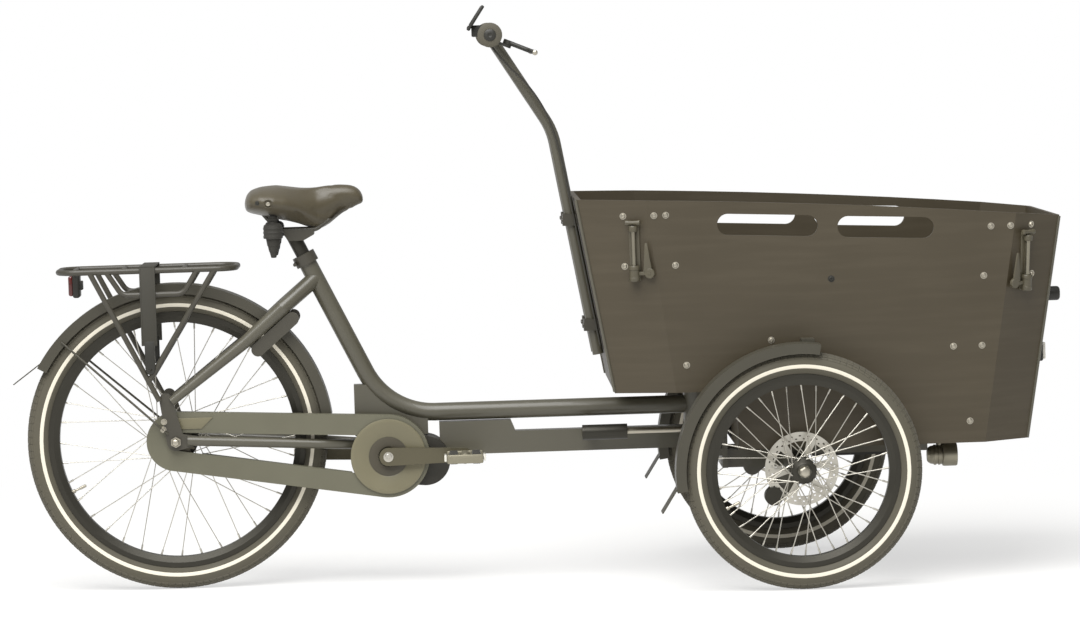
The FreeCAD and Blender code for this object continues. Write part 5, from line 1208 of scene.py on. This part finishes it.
@dataclass
class Crankset:
    """Crank bolts and pedals."""

    bolt: Profile = (
        (4, 80.2), (4.2, 82.4), (6.6, 82.4), (7.4, 81.6), (7.4, 80.6), (11, 80.4), (11.6, 79.4), (11.6, 78))
    arm_mm: float = 170
    # How far a pedal's two ends lie from the tricycle's middle
    inner_mm: float = 84
    outer_mm: float = 183
    # How far the treads and the reflectors lie ahead of and behind a pedal's axis
    tread_mm: float = 25
    glass_mm: float = 43
    ribs: int = 9
    rib_end_mm: float = 13

    def build(self) -> None:
        """Model the crank bolts and both pedals."""
        bolt = turned("bolt", self.bolt, at(*CRANK_AXIS), Axis.Y, 32)
        fit(both_sides("crank_bolts", [bolt]), Body.CRANK, STEEL, "steel")
        self.pedal("right", Body.RIGHT_PEDAL, -1)
        self.pedal("left", Body.LEFT_PEDAL, 1)

    def pedal(self, name: str, body: Body, side: int) -> None:
        """Model one pedal: end plates, barrel, ribbed rubber treads and reflectors.

        Args:
            name: side of the pedal.
            body: body of the pedal.
            side: -1 for the right pedal, 1 for the left.
        """
        x, _, z = CRANK_AXIS
        x -= side * self.arm_mm

        def slab(part: str, low: Point, high: Point, bevel: float) -> Piece:
            """Model a block of the pedal, y counted outwards from the tricycle's middle."""
            near, far = sorted((side * low[1], side * high[1]))
            return block(part, at(x + low[0], near, z + low[2]), at(x + high[0], far, z + high[2]), bevel)

        def lathe(part: str, segments: int, *profile: tuple[float, float]) -> Piece:
            """Turn a piece round the pedal's axis, height counted outwards."""
            return turned(part, [(r, -side * h) for r, h in profile], at(x, 0, z), Axis.Y, segments)

        inner, outer, node = self.inner_mm, self.outer_mm, f"pedal_{name}"
        cage = [slab("plate", (-40, inner, -10), (40, inner + 6, 10), 3),
                slab("plate", (-40, outer - 6, -10), (40, outer, 10), 3),
                lathe("barrel", 28, (6, inner + 3), (11, inner + 5), (11.5, inner + 12), (9.5, inner + 20),
                      (9.5, outer - 20), (11.5, outer - 12), (11, outer - 5), (6, outer - 3))]
        treads, glass = [], []
        for end in (-1, 1):
            cage.append(slab("bridge", (end * 37 - 3, inner + 4, -6), (end * 37 + 3, outer - 4, 6), 1.5))
            middle = end * self.tread_mm
            treads.append(slab("tread", (middle - 9.5, inner + 7, -10.5), (middle + 9.5, outer - 7, 10.5), 3))
            for step in range(self.ribs):
                y = inner + self.rib_end_mm + step * (outer - inner - 2 * self.rib_end_mm) / (self.ribs - 1)
                treads.append(slab("rib", (middle - 8, y - 2, -11.8), (middle + 8, y + 2, 11.8), 1))
            middle = end * self.glass_mm
            glass.append(slab("glass", (middle - 2.8, inner + 24, -7), (middle + 2.8, outer - 24, 7), 1.5))
        fit(joined(f"pedal_cage_{name}", cage), body, PEDAL_ALLOY, "plastic", node)
        fit(joined(f"pedal_treads_{name}", treads), body, GRIP_RUBBER, "rubber", node)
        fit(joined(f"pedal_reflectors_{name}", glass), body, CLEAR_LENS, "lamp", node)
        spindle = lathe(f"pedal_spindle_{name}", 24, (5, 68.3), (7.5, 68.3), (8, 69), (8, 76), (7, 77),
                        (7, inner + 2), (5, inner + 2))
        fit(spindle, body, ZINC, "steel", node)


@dataclass
class Controls:
    """Grips and twist shifter on the handlebar."""

    segments: int = 36
    bore_mm: float = 13.8
    inner_mm: float = 122
    outer_mm: float = 234
    flange_mm: float = 238
    grip_mm: float = 20
    groove_mm: float = 18.8
    ribs: int = 22
    rib_end_mm: float = 4
    ring: Profile = ((13.8, 98.4), (21, 98.4), (22, 99.4), (22, 104), (20.6, 105), (20.6, 119), (21.4, 120),
                     (21, 121.6), (13.8, 121.6))
    # The ring's flutes: the stretch that has them, one in how many faces, and their edge and height
    flute_from_mm: float = 105
    flute_to_mm: float = 119
    flute_pitch: int = 3
    flute_edge_mm: float = 0.6
    flute_rise_mm: float = 1.1
    smooth_degrees: float = 30

    def build(self) -> None:
        """Model the grips and the shifter ring."""
        inner, outer, full, groove = self.inner_mm, self.outer_mm, self.grip_mm, self.groove_mm
        profile = [(self.bore_mm, inner), (full - 1, inner), (full, inner + 1)]
        pitch = (outer - inner - 2 * self.rib_end_mm) / self.ribs
        for step in range(self.ribs):
            low = inner + self.rib_end_mm + step * pitch
            profile += [(full, low), (groove, low + pitch * 0.25), (groove, low + pitch * 0.5),
                        (full, low + pitch * 0.75)]
        profile += [(full, outer - 1), (25.5, outer), (27, outer + 1.2), (27, outer + 3),
                    (25.5, self.flange_mm), (self.bore_mm, self.flange_mm)]
        grip = turned("grip", profile, at(*HANDLEBAR), Axis.Y, self.segments, ring=True)
        fit(both_sides("grip_sleeves", [grip]), Body.CARRIAGE, SLEEVE_RUBBER, "rubber", "grips")
        self.shifter()

    def is_flute(self, middle: Vector, normal: Vector) -> bool:
        """Whether a face of the shifter's ring carries a flute."""
        away = middle - at(*HANDLEBAR)
        face = math.floor(math.atan2(away.z, away.x) / math.tau * self.segments)
        fluted = -self.flute_to_mm * MM < middle.y < -self.flute_from_mm * MM
        return fluted and abs(normal.y) < 0.3 and face % self.flute_pitch == 0

    def shifter(self) -> None:
        """Model the fluted twist ring of the gear shifter."""
        ring = turned("twist_ring", self.ring, at(*HANDLEBAR), Axis.Y, self.segments, ring=True)
        edit(ring)
        pick(ring, self.is_flute)
        bpy.ops.mesh.inset(thickness=self.flute_edge_mm * MM, depth=self.flute_rise_mm * MM,
                           use_individual=True)
        finish_mesh(ring, "twist_ring", self.smooth_degrees)
        fit(ring, Body.SHIFTER, GRIP_RUBBER, "rubber", "twist_shifter")


@dataclass
class Steering:
    """Display, lever tips and bar plugs on the handlebar."""

    # The display's lower edge, how far it leans ahead and rises from there, and its half width
    low: Point = (679, 0, 1225)
    ahead_mm: float = 36
    rise_mm: float = 54
    half_mm: float = 32
    keys: tuple = (-18, 0, 18)
    clamp: Profile = ((13.7, -9), (21, -9), (22.5, -7.5), (22.5, 7.5), (21, 9), (13.7, 9))
    tip: Point = (819.6, -208, 1174.8)
    tip_end: Profile = ((2, 0), (5.4, 0.4), (5.9, 2), (5.9, 9), (5.2, 11.5), (3, 13), (1, 13.3))
    plug: Profile = ((13, 236), (13, 239), (11, 240.5), (5, 241), (4, 240.2), (1, 240))

    def build(self) -> None:
        """Model the display, the lever tips and the plugs in the bar's ends."""
        self.display()
        right = turned("lever_tip_right", self.tip_end, at(*self.tip), Axis.Y, 24)
        left = copied(right, MIRROR)
        left.name = "lever_tip_left"
        fit(right, Body.RIGHT_LEVER, ZINC, "steel")
        fit(left, Body.LEFT_LEVER, ZINC, "steel")
        plug = turned("plug", self.plug, at(*HANDLEBAR), Axis.Y, 32)
        fit(both_sides("bar_plugs", [plug]), Body.CARRIAGE, BLACK_PLASTIC, "plastic")

    def display(self) -> None:
        """Model the tilted display: housing, glass, keys and its bracket."""
        length = math.hypot(self.ahead_mm, self.rise_mm)
        run = Vector((self.ahead_mm, 0, self.rise_mm)).normalized()
        across = Vector((0, -1, 0))
        turn = Matrix((across, run, across.cross(run))).transposed().to_4x4()
        place = Matrix.Translation(at(*self.low)) @ turn
        half = self.half_mm
        housing = moved(block("housing", local(-half, 0, 0), local(half, length, 7.6), 2.6, 3), place)
        keys = [moved(block("key", local(x - 6, 3.5, 7), local(x + 6, 9.5, 8.8), 1), place)
                for x in self.keys]
        arm = block("arm", at(684, -9, 1212), at(731, 9, 1238), 3)
        clamp = turned("clamp", self.clamp, at(*HANDLEBAR), Axis.Y, 36, ring=True)
        case = joined("display_housing", [housing, arm, clamp] + keys)
        fit(case, Body.CARRIAGE, BLACK_PLASTIC, "plastic", "display")
        glass = block("display_glass", local(-half + 4, 12, 7.2), local(half - 4, length - 4, 8.6), 0.8)
        fit(moved(glass, place), Body.CARRIAGE, SCREEN_GLASS, "screen", "display")


@dataclass
class RearFittings:
    """Dropout bolts, axle caps and the carrier's strap."""

    # x and z of the bolts
    bolts: tuple = ((-25, 381), (-27, 364))
    head: Profile = ((2, 78.4), (2.2, 79.6), (4.4, 79.4), (5, 78.4), (5, 75.2), (7, 75), (7, 73.6))
    cap: Profile = ((3, 92.5), (6, 92), (8.6, 90), (9.6, 87), (9.6, 82), (12, 81.6), (12.4, 80), (12.4, 78))
    strap_x_mm: float = -50
    strap_half_mm: float = 17.5
    strap_out_mm: float = 90
    strap_top_mm: float = 728
    strap_under_mm: float = 725.2
    strap_low_mm: float = 552
    bead_in_mm: float = 2.2
    bead_half_mm: float = 1.6
    bead_end_mm: float = 2
    hook_half_mm: float = 11
    hook_low_mm: float = 500
    hook_top_mm: float = 562
    eye_z_mm: float = 498
    eye_in_mm: float = 1.5
    # Radius of the hooks' eyes, and places across them from the strap's outer face
    eye: Profile = ((4.5, -1.8), (9.4, -1.8), (10.6, 0), (9.4, 1.8), (4.5, 1.8))

    def build(self) -> None:
        """Model the bolts, the axle caps and the strap."""
        right = [turned("head", self.head, at(x, 0, z), Axis.Y, 20) for x, z in self.bolts]
        right.append(turned("cap", self.cap, at(0, 0, REAR_RADIUS_MM), Axis.Y, 6))
        fit(both_sides("dropout_bolts", right), Body.REAR, ZINC, "steel")
        self.strap()

    def strap(self) -> None:
        """Model the flat rubber strap with beaded edges and its hook plates."""
        x, half, out, top = self.strap_x_mm, self.strap_half_mm, self.strap_out_mm, self.strap_top_mm
        hook, bead = self.hook_half_mm, self.bead_half_mm
        bead_low, bead_top = self.strap_low_mm + self.bead_end_mm, top - self.bead_end_mm
        bands = [block("band", at(x - half, -out, self.strap_under_mm), at(x + half, out, top), 1)]
        hooks = []
        for side in (-1, 1):
            near, far = sorted((side * (out - 3), side * out))
            bands.append(block("drop", at(x - half, near, self.strap_low_mm), at(x + half, far, top), 1.2))
            for edge in (-1, 1):
                along = x + edge * (half - self.bead_in_mm)
                bands.append(block("bead", at(along - bead, near - 0.5, bead_low),
                                   at(along + bead, far + 0.5, bead_top), 0.7))
            near, far = sorted((side * (out - 3.6), side * (out + 0.6)))
            hooks.append(block("plate", at(x - hook, near, self.hook_low_mm),
                               at(x + hook, far, self.hook_top_mm), 1.6))
            hooks.append(turned("eye", [(r, h - out * side) for r, h in self.eye],
                                at(x, -side * self.eye_in_mm, self.eye_z_mm), Axis.Y, 28, ring=True))
        fit(joined("carrier_strap_band", bands), Body.REAR, STRAP_RUBBER, "rubber", "carrier_strap")
        fit(joined("strap_hooks", hooks), Body.REAR, BLACK_PLASTIC, "plastic", "carrier_strap")


@dataclass
class WheelFittings:
    """Valves on the rims and cap nuts on the front axles."""

    lean: float = math.radians(205)
    # Radii at which the valves leave the rims
    rear_rim_mm: float = 264
    front_rim_mm: float = 187
    stem: Profile = ((2.4, -34), (3.4, -33), (3.4, -20), (2.6, -19), (2.6, -8), (4.5, -7), (4.5, 0))
    nut: Profile = ((12, 417.5), (12, 423.6), (9, 426.6), (4, 427.6))

    def build(self) -> None:
        """Model a valve on each wheel and a cap nut on each front axle."""
        self.valve("rear", Body.REAR_WHEEL, at(0, 0, REAR_RADIUS_MM), self.rear_rim_mm)
        for side, body, way in FRONT_WHEELS:
            centre = at(WHEELBASE_MM, way * HALF_TRACK_MM, FRONT_RADIUS_MM)
            self.valve(f"front_{side}", body, centre, self.front_rim_mm)
        nut = turned("nut", self.nut, at(WHEELBASE_MM, 0, FRONT_RADIUS_MM), Axis.Y, 6)
        fit(both_sides("axle_cap_nuts", [nut]), Body.CARRIAGE, ZINC, "steel")

    def valve(self, name: str, body: Body, centre: Vector, rim_mm: float) -> None:
        """Model one wheel's valve.

        Args:
            name: which wheel.
            body: body of the wheel.
            centre: middle of the wheel.
            rim_mm: radius at which the valve leaves the rim.
        """
        radial = Vector((math.cos(self.lean), 0, math.sin(self.lean)))
        turn = radial.to_track_quat("Z", "Y").to_matrix().to_4x4()
        stem = turned(f"valve_{name}", self.stem, Vector(), Axis.Z, 14)
        fit(moved(stem, Matrix.Translation(centre + radial * rim_mm * MM) @ turn), body, ZINC, "steel")


@dataclass
class Lamps:
    """Headlamp, tail lamp, and the knob and marker at the nose."""

    head: Point = (1677, 0, 245)
    housing: Profile = (
        (8, 0), (14, 0.5), (17, 3), (20, 8), (21, 14), (23, 16), (23, 20), (21, 21), (21, 24), (23, 25),
        (23, 29), (21.5, 30), (21.5, 33), (25, 35), (26, 38), (26, 64), (25, 67), (22, 67.5), (21, 63))
    lens: Profile = ((20.5, 62), (20.5, 64.5), (16, 66.5), (8, 67.6), (2, 67.9))
    # How far the stem stands ahead of the housing's rear and over its axis
    stem_ahead_mm: float = 28
    stem_over_mm: float = 20
    stem: Profile = ((6, 0), (7, 1), (7, 20), (6, 24))
    knob: Point = (1923, 0, 600)
    bumper: Profile = (
        (9, -6), (11, -5), (11, 22), (14, 24), (15.5, 26), (16, 30), (16, 54), (15, 58), (12, 60.5), (4, 61))
    marker: Point = (1924, 0, 472)
    tail: Point = (-199, 0, 686)

    def build(self) -> None:
        """Model every lamp with its housing and lens."""
        self.front()
        self.rear()

    def front(self) -> None:
        """Model the headlamp under the beam, the knob and the low marker at the nose."""
        centre = at(*self.head)
        housing = turned("headlamp", self.housing, centre, Axis.X, 40)
        stem = turned("stem", self.stem, centre + local(self.stem_ahead_mm, 0, self.stem_over_mm), Axis.Z, 20)
        fit(joined("headlamp", [housing, stem]), Body.CARRIAGE, BRUSHED_ALLOY, "plastic", "front_lamps")
        lens = turned("headlamp_lens", self.lens, centre, Axis.X, 40)
        fit(lens, Body.CARRIAGE, CLEAR_LENS, "lamp", "front_lamps")
        bumper = turned("nose_knob", self.bumper, at(*self.knob), Axis.X, 32)
        x, y, z = self.marker
        shell = block("shell", at(x - 25, y - 10.5, z - 23), at(x + 19, y + 10.5, z + 23), 4, 3)
        fit(joined("nose_marker", [bumper, shell]), Body.CARRIAGE, BLACK_PLASTIC, "plastic", "front_lamps")
        lens = block("nose_marker_lens", at(x + 17, y - 8.5, z - 19), at(x + 25, y + 8.5, z + 19), 3, 3)
        fit(lens, Body.CARRIAGE, CLEAR_LENS, "lamp", "front_lamps")

    def rear(self) -> None:
        """Model the tail lamp on the carrier's end."""
        x, y, z = self.tail
        housing = block("housing", at(x - 22, y - 25, z - 27), at(x - 6, y + 25, z + 26), 5, 3)
        foot = block("foot", at(x - 12, y - 12, z - 10), at(x, y + 12, z + 10), 2)
        fit(joined("tail_lamp_housing", [housing, foot]), Body.REAR, BLACK_PLASTIC, "plastic", "tail_lamp")
        lens = block("tail_lamp_lens", at(x - 31.5, y - 21, z - 23), at(x - 20, y + 21, z + 22), 5, 3)
        fit(lens, Body.REAR, RED_LENS, "lamp", "tail_lamp")


@dataclass
class Cables:
    """Brake cables that leave the levers and go down beside the risers."""

    diameter_mm: float = 5.0
    # Points of the right cable, from its lever's perch to the box's floor
    route: tuple = ((726, -81, 1190.9), (757, -86, 1150), (800, -82, 1110), (840, -75, 1050),
                    (864, -72, 985), (888, -72, 868), (948.5, -72, 520))

    def build(self) -> None:
        """Lay both cables."""
        self.lay("right", 1)
        self.lay("left", -1)

    def lay(self, name: str, mirror: int) -> None:
        """Lay one cable on a smooth spline through its route.

        Args:
            name: side of the cable.
            mirror: 1 for the right side, -1 for the left.
        """
        line = bpy.data.curves.new(f"brake_cable_{name}", "CURVE")
        line.dimensions = "3D"
        line.bevel_depth = self.diameter_mm / 2 * MM
        line.bevel_resolution = 4
        line.use_fill_caps = True
        points = [at(x, mirror * y, z) for x, y, z in self.route]
        spline = line.splines.new("NURBS")
        spline.points.add(len(points) - 1)
        for knot, point in zip(spline.points, points):
            knot.co = (*point, 1.0)
        spline.order_u = 3
        spline.use_endpoint_u = True
        spline.resolution_u = 12
        cable = bpy.data.objects.new(f"brake_cable_{name}", line)
        bpy.context.scene.collection.objects.link(cable)
        fit(cable, Body.CARRIAGE, CABLE_SHEATH, "plastic", "brake_cables")

    @staticmethod
    def length(cable: Piece) -> float:
        """Length of a cable in metres, along its spline."""
        return cable.data.splines[0].calc_length()


DRESS: dict[str, Finish] = {
    **dict.fromkeys(("frame_main_tube", "frame_lower_rail", "frame_gusset", "frame_seat_stays",
                     "frame_chain_stays", "handlebar", "carriage_frame"), POWDER_COAT),
    **dict.fromkeys(("frame_dropouts", "carrier", "seat_clamp", "saddle_frame", "ring_lock"), POWDER_BLACK),
    **dict.fromkeys(("rear_mudguard", "front_mudguards"), GUARD_PLASTIC),
    **dict.fromkeys(("motor", "rear_hub"), CAST_ALLOY),
    **dict.fromkeys(("chain", "chainring", "rear_sprocket"), CHAIN_STEEL),
    **dict.fromkeys(("rear_axle", "box_fasteners", "kingpin", "damper_rod"), ZINC),
    **dict.fromkeys(("rear_spokes", "front_spokes_right", "front_spokes_left"), STEEL),
    **dict.fromkeys(("rear_rim", "front_rim_right", "front_rim_left", "front_hub_right", "front_hub_left",
                     "seatpost", "damper_cylinder", "brake_calipers"), BLACK_ALLOY),
    **dict.fromkeys(("box_side_right", "box_side_left", "box_front_panel", "box_rear_panel"), PLYWOOD),
    **dict.fromkeys(("tent_clamps", "brake_perches", "brake_lever_right", "brake_lever_left", "display",
                     "twist_shifter", "battery", "front_lamps", "tail_lamp", "pedal_right", "pedal_left"),
                    BLACK_PLASTIC),
    **dict.fromkeys(("grips", "saddle_springs", "brake_cables"), GRIP_RUBBER),
    "chain_case": CASE_PLASTIC,
    "crank_arms": FORGED_ALLOY,
    "box_floor": PLY_FLOOR,
    "carrier_strap": STRAP_RUBBER,
    "saddle_cover": SADDLE_VINYL,
    "rear_tyre": REAR_TYRE,
    "front_tyre_right": FRONT_TYRE,
    "front_tyre_left": FRONT_TYRE,
}


def dress_frame() -> None:
    """Give every carried-over CAD node its finish."""
    for name, finish in DRESS.items():
        wear(frame["nodes"][name], finish)


def main() -> None:
    """Build the pieces in order."""
    logging.basicConfig(level=logging.INFO, format="%(name)s: %(message)s")
    Studio().build()
    dress_frame()
    Tyre("rear_tyre", Body.REAR_WHEEL, at(0, 0, REAR_RADIUS_MM), REAR_RADIUS_MM, steps=132,
         finish=REAR_TYRE).build()
    for side, body, way in FRONT_WHEELS:
        centre = at(WHEELBASE_MM, way * HALF_TRACK_MM, FRONT_RADIUS_MM)
        Tyre(f"front_tyre_{side}", body, centre, FRONT_RADIUS_MM, steps=108, finish=FRONT_TYRE).build()
        FrontHub(side, body).build()
    for assembly in (Saddle, CargoBox, ChainCase, Crankset, Controls, Steering, RearFittings, WheelFittings,
                     Lamps, Cables):
        assembly().build()


if __name__ == "__main__":
    main()
